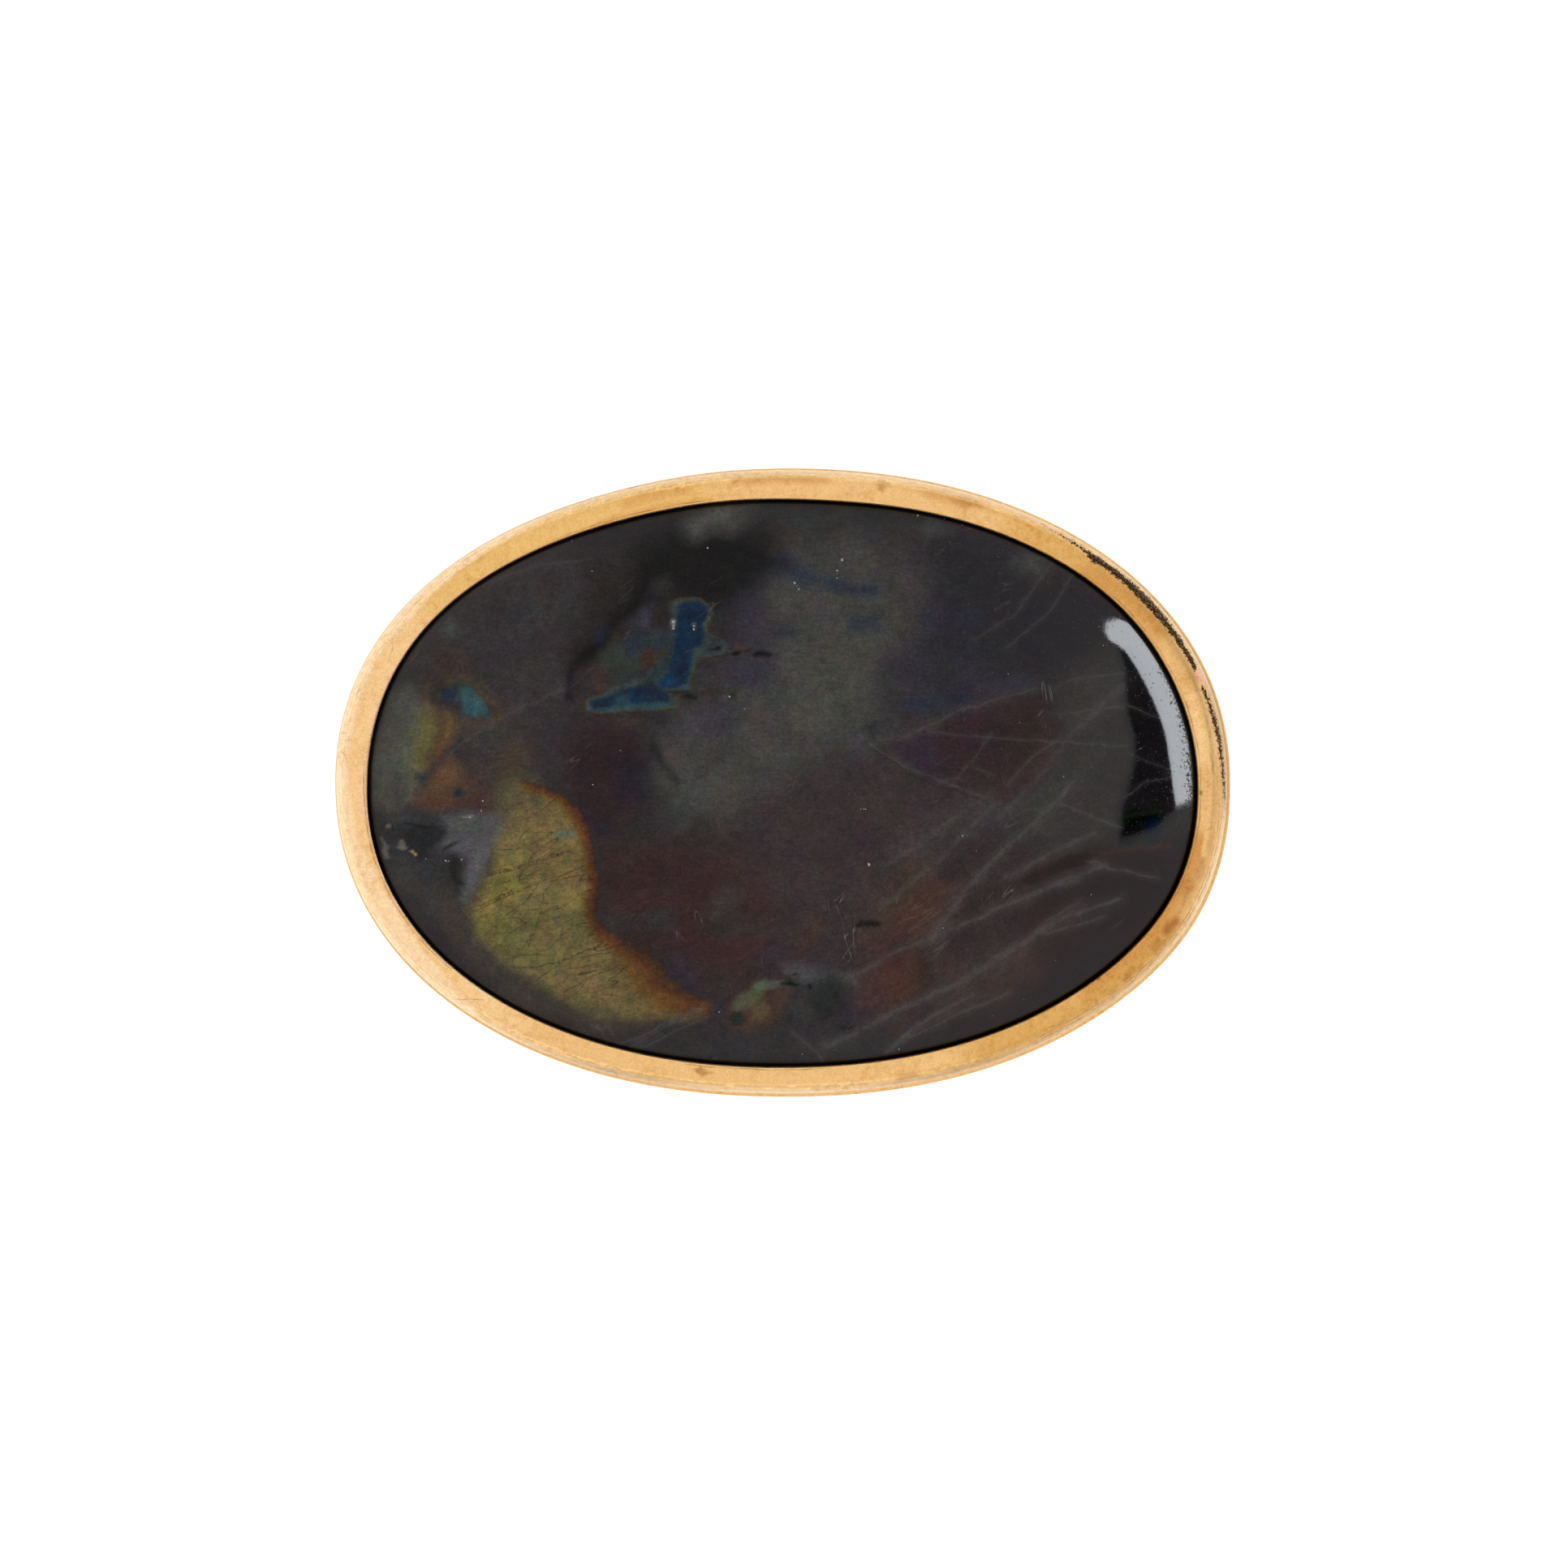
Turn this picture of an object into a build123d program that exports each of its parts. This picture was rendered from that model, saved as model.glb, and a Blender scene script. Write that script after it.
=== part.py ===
import math
import os

from build123d import *

# An oval brooch lying face up on its foot. +Z points out of the front, +X runs along the long axis,
# +Y points up as the brooch is worn, and the origin is the middle of the foot. All in millimetres.

# The bezel's outline, an oval of four arcs. Its end arcs are nearly as wide as the oval itself
bezel_length = 49.6
bezel_width = 34.9
end_fullness = 0.865

# The bezel's rim, which laps over the stone by a thin lip
rim_width = 1.6
shoulder_radius = 1.05
lip_overhang = 0.35
lip_thickness = 0.35
lip_gap = 0.25
lip_bevel = 0.1

# The ledge round the foot, soldered on a little to one side
ledge_reach = 0.17
ledge_height = 0.8
ledge_round = 0.15
ledge_shift_x = 0.08
ledge_shift_y = -0.05

# The back plate and the wall round the recess behind it
plate_thickness = 0.7
recess_wall = 1.0
recess_round = 0.3

# The cabochon and its dome, in sections by the turn from the girdle towards the crown, in degrees
stone_clearance = 0.08
girdle_height = 0.7
base_bevel = 0.3
dome_height = 3.9
dome_turns = (0, 12.6, 25.2, 37.8, 50.4, 63, 75.6, 88.2)

# The pin behind the back plate: its bar, hinge, stem and catch
pin_rise = 4.0
floor_clearance = 0.6
bar_gap = 0.05
bar_length = 34.0
bar_width = 3.4
bar_thickness = 0.5
bar_round = 0.15
hinge_inset = 2.6
hinge_width = 2.6
hinge_radius = 0.95
stem_diameter = 0.9
tip_diameter = 0.2
tip_overhang = 1.6
taper_length = 6.0
catch_inset = 3.6
catch_width = 2.4
catch_metal = 0.5
catch_clearance = 0.12
catch_sink = 0.1
catch_opening_turn = 205

os.makedirs("parts", exist_ok=True)

# The oval's arcs meet where the centres of an end arc and a side arc line up
half_length = bezel_length / 2
half_width = bezel_width / 2
end_radius = end_fullness * half_width
end_centre = half_length - end_radius
side_radius = (end_centre**2 + half_width**2 - end_radius**2) / (2 * (half_width - end_radius))
side_centre = side_radius - half_width
join_turn = math.degrees(math.atan2(side_centre, end_centre))

# The insets of the cup and of the stone in it
cup_inset = rim_width - lip_overhang
stone_inset = cup_inset + stone_clearance

# The heights, from the foot up: the pin, the back plate, the stone and the lip over its edge
catch_bore = stem_diameter / 2 + catch_clearance
catch_radius = catch_bore + catch_metal
pin_height = floor_clearance + catch_radius
bar_base = pin_height + catch_radius - catch_sink
hinge_rise = bar_base + bar_thickness / 2 - pin_height
plate_base = bar_base + bar_thickness + bar_gap
cup_floor = plate_base + plate_thickness
stone_base = cup_floor + stone_clearance
girdle_top = stone_base + girdle_height
lip_reach = (half_width - rim_width) / (half_width - stone_inset)
stone_at_lip = girdle_top + dome_height * math.sqrt(1 - lip_reach**2)
lip_base = stone_at_lip + lip_gap
lip_top = lip_base + lip_thickness

# The places along the pin, from the hinge to the tip
hinge_x = hinge_inset - bar_length / 2
catch_x = bar_length / 2 - catch_inset
tip_x = catch_x + catch_width / 2 + tip_overhang
taper_x = tip_x - taper_length


def oval(inset, scale=1.0):
    """The bezel's outline moved inward by inset, then scaled about its middle, as a sketch face."""
    end = (end_radius - inset) * scale
    side = (side_radius - inset) * scale
    end_x = end_centre * scale
    side_y = side_centre * scale
    end_sweep = 2 * join_turn
    side_sweep = 180 - end_sweep
    with BuildLine() as outline:
        CenterArc((end_x, 0), end, -join_turn, end_sweep)
        CenterArc((0, -side_y), side, join_turn, side_sweep)
        CenterArc((-end_x, 0), end, 180 - join_turn, end_sweep)
        CenterArc((0, side_y), side, 180 + join_turn, side_sweep)
    make_face(outline.edges())


# The cabochon: a bevelled base, a straight girdle and a domed top
with BuildPart() as cabochon:
    with BuildSketch(Plane.XY.offset(stone_base)):
        oval(stone_inset)
    extrude(amount=girdle_height)
    chamfer(faces().sort_by(Axis.Z)[0].edges(), base_bevel)
    for turn in dome_turns:
        with BuildSketch(Plane.XY.offset(girdle_top + dome_height * math.sin(math.radians(turn)))):
            oval(stone_inset, math.cos(math.radians(turn)))
    loft()
cabochon.part.label = "cabochon"

# The recess behind the back plate, with a soft corner all round, to be cut from the setting
with BuildPart() as recess:
    with BuildSketch():
        oval(recess_wall)
    extrude(amount=plate_base)
    fillet(faces().sort_by(Axis.Z)[-1].edges(), recess_round)

# The ledge, as a disc with a rounded upper edge, to be soldered under the bezel
with BuildPart() as ledge:
    with BuildSketch():
        oval(-ledge_reach)
    extrude(amount=ledge_height)
    fillet(faces().sort_by(Axis.Z)[-1].edges(), ledge_round)

# The setting: bezel, ledge and back plate in one, with the cup for the stone
with BuildPart() as setting:
    with BuildSketch():
        oval(0)
    extrude(amount=lip_top)
    fillet(faces().sort_by(Axis.Z)[-1].edges(), min(shoulder_radius, 0.9 * rim_width))
    with Locations((ledge_shift_x, ledge_shift_y)):
        add(ledge.part)

    # The cup's straight wall, its slope under the lip and the opening through the lip
    with BuildSketch(Plane.XY.offset(cup_floor)):
        oval(cup_inset)
    extrude(amount=stone_at_lip - cup_floor, mode=Mode.SUBTRACT)
    with BuildSketch(Plane.XY.offset(stone_at_lip)):
        oval(cup_inset)
    with BuildSketch(Plane.XY.offset(lip_base)):
        oval(rim_width)
    loft(ruled=True, mode=Mode.SUBTRACT)
    with BuildSketch(Plane.XY.offset(lip_base)):
        oval(rim_width)
    extrude(amount=lip_thickness, mode=Mode.SUBTRACT)
    chamfer(faces().sort_by(Axis.Z)[-1].inner_wires()[0].edges(), lip_bevel)

    add(recess.part, mode=Mode.SUBTRACT)
setting.part.label = "setting"

# The pin, one plain piece: a bar under the back plate, the hinge block, the stem and the catch
hinge_plane = Plane(origin=(hinge_x, pin_rise, pin_height), x_dir=(1, 0, 0), z_dir=(0, -1, 0))
stem_plane = Plane(origin=(0, pin_rise, pin_height), x_dir=(1, 0, 0), z_dir=(0, -1, 0))
catch_plane = Plane(origin=(catch_x, pin_rise, pin_height), x_dir=(0, 1, 0), z_dir=(1, 0, 0))
with BuildPart() as pin_back:
    with BuildSketch(Plane.XY.offset(bar_base)):
        with Locations((0, pin_rise)):
            SlotOverall(bar_length, bar_width)
    extrude(amount=bar_thickness)
    fillet(faces().sort_by(Axis.Z)[0].edges(), bar_round)

    # The hinge block hangs from the bar and ends in a barrel
    with BuildSketch(hinge_plane):
        Circle(hinge_radius)
        Rectangle(2 * hinge_radius, hinge_rise, align=(Align.CENTER, Align.MIN))
    extrude(amount=hinge_width / 2, both=True)

    # The stem runs from the hinge through the catch and tapers to its tip
    with BuildSketch(stem_plane):
        with BuildLine():
            Polyline(
                (hinge_x, 0),
                (hinge_x, stem_diameter / 2),
                (taper_x, stem_diameter / 2),
                (tip_x, tip_diameter / 2),
                (tip_x, 0),
                close=True,
            )
        make_face()
    revolve(axis=Axis(stem_plane.origin, (1, 0, 0)))

    # The catch is a ring round the stem with one side open
    with BuildSketch(catch_plane):
        Circle(catch_radius)
        Circle(catch_bore, mode=Mode.SUBTRACT)
        with Locations(Rotation(0, 0, catch_opening_turn)):
            Rectangle(2 * catch_radius, 2 * catch_bore, align=(Align.MIN, Align.CENTER), mode=Mode.SUBTRACT)
    extrude(amount=catch_width / 2, both=True)
pin_back.part.label = "pin_back"

for piece in (setting, cabochon, pin_back):
    export_step(piece.part, f"parts/{piece.part.label}.step")
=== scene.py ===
import math

import bpy
import numpy as np
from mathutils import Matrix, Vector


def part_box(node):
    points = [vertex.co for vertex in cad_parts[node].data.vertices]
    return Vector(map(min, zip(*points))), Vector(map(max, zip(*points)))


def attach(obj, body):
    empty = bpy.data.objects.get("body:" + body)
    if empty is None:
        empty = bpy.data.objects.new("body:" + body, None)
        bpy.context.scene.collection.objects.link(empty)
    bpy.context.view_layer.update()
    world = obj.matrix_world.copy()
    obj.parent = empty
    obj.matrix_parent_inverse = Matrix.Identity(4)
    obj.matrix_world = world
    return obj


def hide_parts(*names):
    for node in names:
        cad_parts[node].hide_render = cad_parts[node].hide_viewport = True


# An oval gold brooch with a labradorite cabochon, lying face up. Shapes are worked out in millimetres
# in the frame's own axes and turned into metres where the meshes are made.

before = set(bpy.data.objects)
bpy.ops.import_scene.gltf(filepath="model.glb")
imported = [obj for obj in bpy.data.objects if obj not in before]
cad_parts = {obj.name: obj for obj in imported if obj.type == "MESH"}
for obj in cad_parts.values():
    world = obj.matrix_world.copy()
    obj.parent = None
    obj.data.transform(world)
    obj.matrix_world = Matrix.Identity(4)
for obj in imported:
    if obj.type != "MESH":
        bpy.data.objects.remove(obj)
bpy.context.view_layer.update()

MM = 0.001

# A distance beyond every other in mm, and how many widths off a line or a flash counts as far outside it
FAR = 1e9
OUTSIDE = 9.0

# Stands in for 0 where a number is divided by it
TINY = 1e-6

# The bezel, as the frame's solids have it
RIM_FULLNESS = 2.13
RIM_WIDTH = 1.6
SHOULDER_RADIUS = 1.05
LIP_OVERHANG = 0.35
LIP_THICKNESS = 0.35
LIP_GAP = 0.25
LIP_BEVEL = 0.1
LIP_CLEARANCE = 0.06
LEDGE_REACH = 0.17
LEDGE_HEIGHT = 0.8
LEDGE_ROUND = 0.15
LEDGE_CREASE = 0.02
LEDGE_SHIFT = (0.08, -0.05)
RECESS_WALL = 1.0
RECESS_ROUND = 0.3
PLATE_THICKNESS = 0.7

# The stone
STONE_CLEARANCE = 0.08
GIRDLE_HEIGHT = 0.7
BASE_BEVEL = 0.3

# The dome's curve starts a little below the girdle's top and stops a little short of upright, so that the
# stone is fuller under the lip
EDGE_DROP = 0.3
EDGE_REACH = 0.97

# How finely the shapes are worked out: steps round the outline, round the stone's edge and round the bezel,
# and the dome's grid
OUTLINE_STEPS = 12000
STONE_EDGE_STEPS = 4000
BEZEL_STEPS = 1500
DOME_GRID = (330, 280)

# The hand-made outline isn't quite even. Each pull has the turn round the oval where it lies and how far it
# spreads, in degrees, and how far it moves the outer edge and the lip's edge outward, in mm. The lip's move
# starts at an inset
PULLS = (
    (128, 27, -0.29, -0.33),
    (342, 12, 0.18, 0.15),
    (262, 42, -0.10, 0.00),
    (172, 16, 0.03, -0.17),
    (14, 12, 0.02, -0.16),
    (80, 16, -0.03, -0.12),
)
LIP_PULL_INSET = 0.3

# The bezel's top isn't quite smooth: each wave's size in mm, seed, layers of noise and depth in mm. It
# sinks down and a little inward, and fades out between two depths below the lip's top
WAVES = (
    (2.4, 11, 3, 0.02),
    (0.5, 31, 2, 0.012),
)
SINK_INWARD = 0.6
SINK_FADE = (2.5, 0.8)

# Small marks on the bezel: the pixel where each lies, how far it spreads and how deep it goes in, in mm
MARKS = (
    (756, 1323, 0.22, 0.16),
    (1130, 1335, 0.14, 0.08),
    (1193, 1321, 0.12, 0.07),
    (1480, 833, 0.26, -0.04),
    (864, 1320, 0.16, 0.03),
    (1354, 1205, 0.10, 0.05),
)

# The noise repeats after this many cells, and the brooch's middle lies this many cells in
NOISE_CELLS = 256
NOISE_SHIFT = 100.0

# The photograph's view: straight down, the whole frame 87.58 mm wide
VIEW_WIDTH = 87.58
VIEW_CENTRE = (0.148, -0.109)
CAMERA_HEIGHT = 2.0
SENSOR_WIDTH = 36.0
CLIP_END = 10.0

# Places on the brooch are read off the photograph in its pixels. The brooch's middle lies at this one
PHOTO_WIDTH = 1932
PHOTO_MIDDLE = (964.5, 964.7)
PIXEL = VIEW_WIDTH / PHOTO_WIDTH


def corners(node):
    """A node's lowest and highest corners in mm."""
    low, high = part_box(node)
    return np.array(low) / MM, np.array(high) / MM


setting_low, setting_high = corners("setting")
stone_low, stone_high = corners("cabochon")
half_length = (setting_high[0] - setting_low[0]) / 2 - LEDGE_REACH
half_width = (setting_high[1] - setting_low[1]) / 2 - LEDGE_REACH
cup_inset = RIM_WIDTH - LIP_OVERHANG
stone_inset = cup_inset + STONE_CLEARANCE
lip_top = setting_high[2]
lip_base = lip_top - LIP_THICKNESS
stone_at_lip = lip_base - LIP_GAP
shoulder_base = lip_top - SHOULDER_RADIUS
stone_base = stone_low[2]
girdle_top = stone_base + GIRDLE_HEIGHT
dome_height = stone_high[2] - girdle_top
cup_floor = stone_base - STONE_CLEARANCE
plate_base = cup_floor - PLATE_THICKNESS


def from_photo(points):
    """Places in the photograph's pixels as places in mm."""
    return [((x - PHOTO_MIDDLE[0]) * PIXEL, (PHOTO_MIDDLE[1] - y) * PIXEL) for x, y in points]


# Noise and distances in plain numbers, for the shapes and for the paint


def lattice_noise(x, y, size, seed):
    """Smooth noise between 0 and 1 over the plane, with features of about the given size in mm."""
    table = np.random.RandomState(seed).rand(NOISE_CELLS, NOISE_CELLS)
    u, v = x / size + NOISE_SHIFT, y / size + NOISE_SHIFT
    i, j = np.floor(u).astype(int), np.floor(v).astype(int)
    s, t = smooth_step(u - i, 0, 1), smooth_step(v - j, 0, 1)

    def corner(a, b):
        return table[(i + a) % NOISE_CELLS, (j + b) % NOISE_CELLS]

    near = corner(0, 0) * (1 - s) + corner(1, 0) * s
    far = corner(0, 1) * (1 - s) + corner(1, 1) * s
    return near * (1 - t) + far * t


def layered_noise(x, y, size, seed, layers=4):
    """Several layers of noise, each half the size and strength of the last, between 0 and 1."""
    total, weight = 0.0, 0.0
    for layer in range(layers):
        share = 0.5**layer
        total = total + share * lattice_noise(x, y, size * share, seed + layer)
        weight += share
    return total / weight


def smooth_step(value, low, high):
    """0 below low, 1 above high and a smooth rise between."""
    t = np.clip((value - low) / (high - low), 0, 1)
    return t * t * (3 - 2 * t)


def bell(apart, spread):
    """1 where apart is 0, falling to about a third at the spread and to nothing beyond."""
    return np.exp(-((apart / spread) ** 2))


def turn_bell(angle, turn, spread):
    """A bell round the oval by how far each angle is from a turn. Turn and spread are in degrees."""
    return bell((np.degrees(angle) - turn + 180) % 360 - 180, spread)


def mark_bell(x, y, column, row, spread):
    """A round bell about a pixel of the photograph, with its spread in mm."""
    (mark_x, mark_y), = from_photo([(column, row)])
    return bell(np.hypot(x - mark_x, y - mark_y), spread)


def line_distance(x, y, points, closed=False):
    """How far each place is from a line through the points, in mm, and the side of it that it lies on."""
    nearest = np.full(x.shape, FAR)
    side = np.ones(x.shape)
    for (ax, ay), (bx, by) in zip(points, points[1:] + (points[:1] if closed else [])):
        dx, dy = bx - ax, by - ay
        t = np.clip(((x - ax) * dx + (y - ay) * dy) / (dx * dx + dy * dy), 0, 1)
        apart = np.hypot(x - ax - t * dx, y - ay - t * dy)
        closer = apart < nearest
        side = np.where(closer, np.sign(dx * (y - ay) - dy * (x - ax)), side)
        nearest = np.where(closer, apart, nearest)
    return nearest, side


def inside_distance(x, y, points):
    """How far inside the outline through the points each place lies, in mm, and below zero outside."""
    inside = np.zeros(x.shape, bool)
    for (ax, ay), (bx, by) in zip(points, points[1:] + points[:1]):
        if ay != by:
            crosses = (ay > y) != (by > y)
            inside ^= crosses & (x < ax + (y - ay) * (bx - ax) / (by - ay))
    distance, _ = line_distance(x, y, points, True)
    return np.where(inside, distance, -distance)


def inside_share(x, y, points, low, high):
    """0 outside an outline in pixels and 1 inside it, with a soft edge from low to high mm inside."""
    return smooth_step(inside_distance(x, y, from_photo(points)), low, high)


# Meshes


def pulled(angle, which):
    """How far the pulls move the outer edge (0) or the lip's edge (1) at each angle, in mm."""
    return sum(pull[2 + which] * turn_bell(angle, *pull[:2]) for pull in PULLS)


def superellipse(angle):
    """The distance from the middle to the bezel's even outline at an angle, in mm."""
    c, s = np.abs(np.cos(angle)), np.abs(np.sin(angle))
    return ((c / half_length) ** RIM_FULLNESS + (s / half_width) ** RIM_FULLNESS) ** (-1 / RIM_FULLNESS)


def outline(count, which=0):
    """Points evenly spaced round the pulled outline, with their outward normals."""
    angle = np.linspace(0, 2 * math.pi, OUTLINE_STEPS + 1)
    reach = superellipse(angle) + pulled(angle, which)
    x, y = reach * np.cos(angle), reach * np.sin(angle)
    along = np.concatenate(([0], np.cumsum(np.hypot(np.diff(x), np.diff(y)))))
    places = np.linspace(0, along[-1], count + 1)[:-1]
    points = np.column_stack([np.interp(places, along, x), np.interp(places, along, y)])
    ahead = np.roll(points, -1, 0) - np.roll(points, 1, 0)
    normals = np.column_stack([ahead[:, 1], -ahead[:, 0]]) / np.hypot(ahead[:, 0], ahead[:, 1])[:, None]
    return points, normals


def stone_edge():
    """The stone's edge as angles round the middle and the distance to it at each, in mm."""
    points, normals = outline(STONE_EDGE_STEPS, 1)
    edge = points - normals * stone_inset
    return np.unwrap(np.arctan2(edge[:, 1], edge[:, 0])), np.hypot(edge[:, 0], edge[:, 1])


stone_rim = stone_edge()


def stone_reach(angle):
    """The distance from the middle to the stone's edge at each angle, in mm."""
    return np.interp(angle % (2 * math.pi), *stone_rim, period=2 * math.pi)


def dome_rise(share):
    """The dome's height in mm at a share of the way from the middle to the stone's edge."""
    rise = (dome_height + EDGE_DROP) * np.sqrt(np.clip(1 - (EDGE_REACH * share) ** 2, 0, 1))
    return girdle_top - EDGE_DROP + rise


def dome(x, y):
    """The height of the stone's dome at each place, in mm."""
    return dome_rise(np.hypot(x, y) / stone_reach(np.arctan2(y, x)))


def new_object(name, points, faces):
    """A mesh object from points in mm."""
    mesh = bpy.data.meshes.new(name)
    mesh.from_pydata([tuple(p) for p in np.asarray(points) * MM], [], faces)
    mesh.validate()
    for face in mesh.polygons:
        face.use_smooth = True
    piece = bpy.data.objects.new(name, mesh)
    bpy.context.scene.collection.objects.link(piece)
    return piece


def run(start, end, count):
    """Points from start up to but not including end."""
    return [tuple(np.array(start) + (np.array(end) - start) * k / count) for k in range(count)]


def quarter(centre, radius, start, turn, count):
    """Points of an arc, in degrees, without its last point."""
    angles = np.radians(start + turn * np.arange(count) / count)
    return [(centre[0] + radius * math.cos(a), centre[1] + radius * math.sin(a)) for a in angles]


def rim_profile():
    """The bezel's section as (inset, height) from the recess round the foot and over to the cup floor."""
    ledge_top = LEDGE_HEIGHT - LEDGE_ROUND
    ledge_inset = LEDGE_ROUND - LEDGE_REACH
    points = quarter((RECESS_WALL + RECESS_ROUND, plate_base - RECESS_ROUND), RECESS_ROUND, 90, 90, 5)
    points += run((RECESS_WALL, plate_base - RECESS_ROUND), (RECESS_WALL, 0), 3)
    points += run((RECESS_WALL, 0), (-LEDGE_REACH, 0), 3)
    points += run((-LEDGE_REACH, 0), (-LEDGE_REACH, ledge_top), 2)
    points += quarter((ledge_inset, ledge_top), LEDGE_ROUND, 180, -90, 4)
    points += [(ledge_inset, LEDGE_HEIGHT)]
    points += run((0, LEDGE_HEIGHT + LEDGE_CREASE), (0, shoulder_base), 9)
    points += quarter((SHOULDER_RADIUS, shoulder_base), SHOULDER_RADIUS, 180, -90, 20)
    points += run((SHOULDER_RADIUS, lip_top), (RIM_WIDTH - LIP_BEVEL, lip_top), 7)
    points += run((RIM_WIDTH - LIP_BEVEL, lip_top), (RIM_WIDTH, lip_top - LIP_BEVEL), 3)
    points += run((RIM_WIDTH, lip_top - LIP_BEVEL), (RIM_WIDTH, lip_base), 2)
    points += [(RIM_WIDTH, lip_base), (cup_inset, stone_at_lip), (cup_inset, cup_floor)]
    return points


def swept_rings(profile):
    """The profile's points swept round the outline, as a grid with a row for each point of the profile."""
    base, normal = outline(BEZEL_STEPS)
    opening, _ = outline(BEZEL_STEPS, 1)
    shift = np.sum((opening - base) * normal, 1)
    rings = []
    for inset, height in profile:
        inner = smooth_step(inset, LIP_PULL_INSET, RIM_WIDTH) if height > LEDGE_HEIGHT else 0.0
        place = base - normal * (inset - inner * shift)[:, None]
        if inset < 0:
            place = place + np.array(LEDGE_SHIFT)
        level = np.full(BEZEL_STEPS, height)
        if inset == RIM_WIDTH and height <= lip_base:
            level = dome(place[:, 0], place[:, 1]) + LIP_CLEARANCE
        rings.append(np.column_stack([place, level]))
    return np.array(rings), normal


def make_bezel():
    """The bezel with its back plate, swept round the outline with a little unevenness and its marks."""
    profile = rim_profile()
    grid, normal = swept_rings(profile)
    x, y, z = np.moveaxis(grid, 2, 0)
    sink = 0.0
    for size, seed, layers, depth in WAVES:
        sink = sink + depth * np.abs(layered_noise(x, y, size, seed, layers) - 0.5)
    for column, row, spread, depth in MARKS:
        sink = sink + depth * mark_bell(x, y, column, row, spread)
    sink = sink * smooth_step(z, lip_top - SINK_FADE[0], lip_top - SINK_FADE[1])
    inward = np.array([0.0, 0.0, -1.0]) - SINK_INWARD * np.column_stack([normal, np.zeros(BEZEL_STEPS)])
    grid = grid + sink[..., None] * inward
    points = list(grid.reshape(-1, 3)) + [np.array([0, 0, plate_base]), np.array([0, 0, cup_floor])]
    low, high = len(points) - 2, len(points) - 1
    last = low - BEZEL_STEPS
    faces = []
    for start in range(0, last, BEZEL_STEPS):
        for i in range(BEZEL_STEPS):
            j = (i + 1) % BEZEL_STEPS
            faces.append((start + i, start + j, start + BEZEL_STEPS + j, start + BEZEL_STEPS + i))
    for i in range(BEZEL_STEPS):
        j = (i + 1) % BEZEL_STEPS
        faces.append((low, j, i))
        faces.append((high, last + i, last + j))
    bezel = new_object("bezel", points, faces)
    insets = [inset - max(shoulder_base - height, 0) for inset, height in profile]
    insets = np.append(np.repeat(insets, BEZEL_STEPS), (-OUTSIDE, -OUTSIDE))
    put_attribute(bezel.data, "inset", "FLOAT", insets)
    return bezel


def make_stone():
    """The cabochon: a fine grid over the dome, a straight girdle and a bevelled base."""
    columns, rows = DOME_GRID
    u, v = np.meshgrid(np.linspace(-1, 1, columns + 1), np.linspace(-1, 1, rows + 1))
    disc_x = u * np.sqrt(1 - v * v / 2)
    disc_y = v * np.sqrt(1 - u * u / 2)
    share = np.clip(np.hypot(disc_x, disc_y), 0, 1)
    stretch = (half_width - stone_inset) / (half_length - stone_inset)
    angle = np.arctan2(disc_y * stretch, disc_x)
    reach = share * stone_reach(angle)
    grid = np.stack([reach * np.cos(angle), reach * np.sin(angle), dome_rise(share)], 2)
    points = list(grid.reshape(-1, 3))
    wide = columns + 1
    faces = [
        (r * wide + c, r * wide + c + 1, (r + 1) * wide + c + 1, (r + 1) * wide + c)
        for r in range(rows)
        for c in range(columns)
    ]
    border = list(range(columns))
    border += [r * wide + columns for r in range(rows)]
    border += [rows * wide + c for c in range(columns, 0, -1)]
    border += [r * wide for r in range(rows, 0, -1)]
    edge = np.array([points[i][:2] for i in border])
    outward = edge / np.hypot(edge[:, 0], edge[:, 1])[:, None]
    total = len(border)
    girdle_base, base = len(points), len(points) + total
    for height, shrink in ((stone_base + BASE_BEVEL, 0.0), (stone_base, BASE_BEVEL)):
        points += list(np.column_stack([edge - outward * shrink, np.full(total, height)]))
    for i in range(total):
        j = (i + 1) % total
        faces.append((border[j], border[i], girdle_base + i, girdle_base + j))
        faces.append((girdle_base + j, girdle_base + i, base + i, base + j))
    faces.append(tuple(base + i for i in range(total - 1, -1, -1)))
    return new_object("stone", points, faces)


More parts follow.
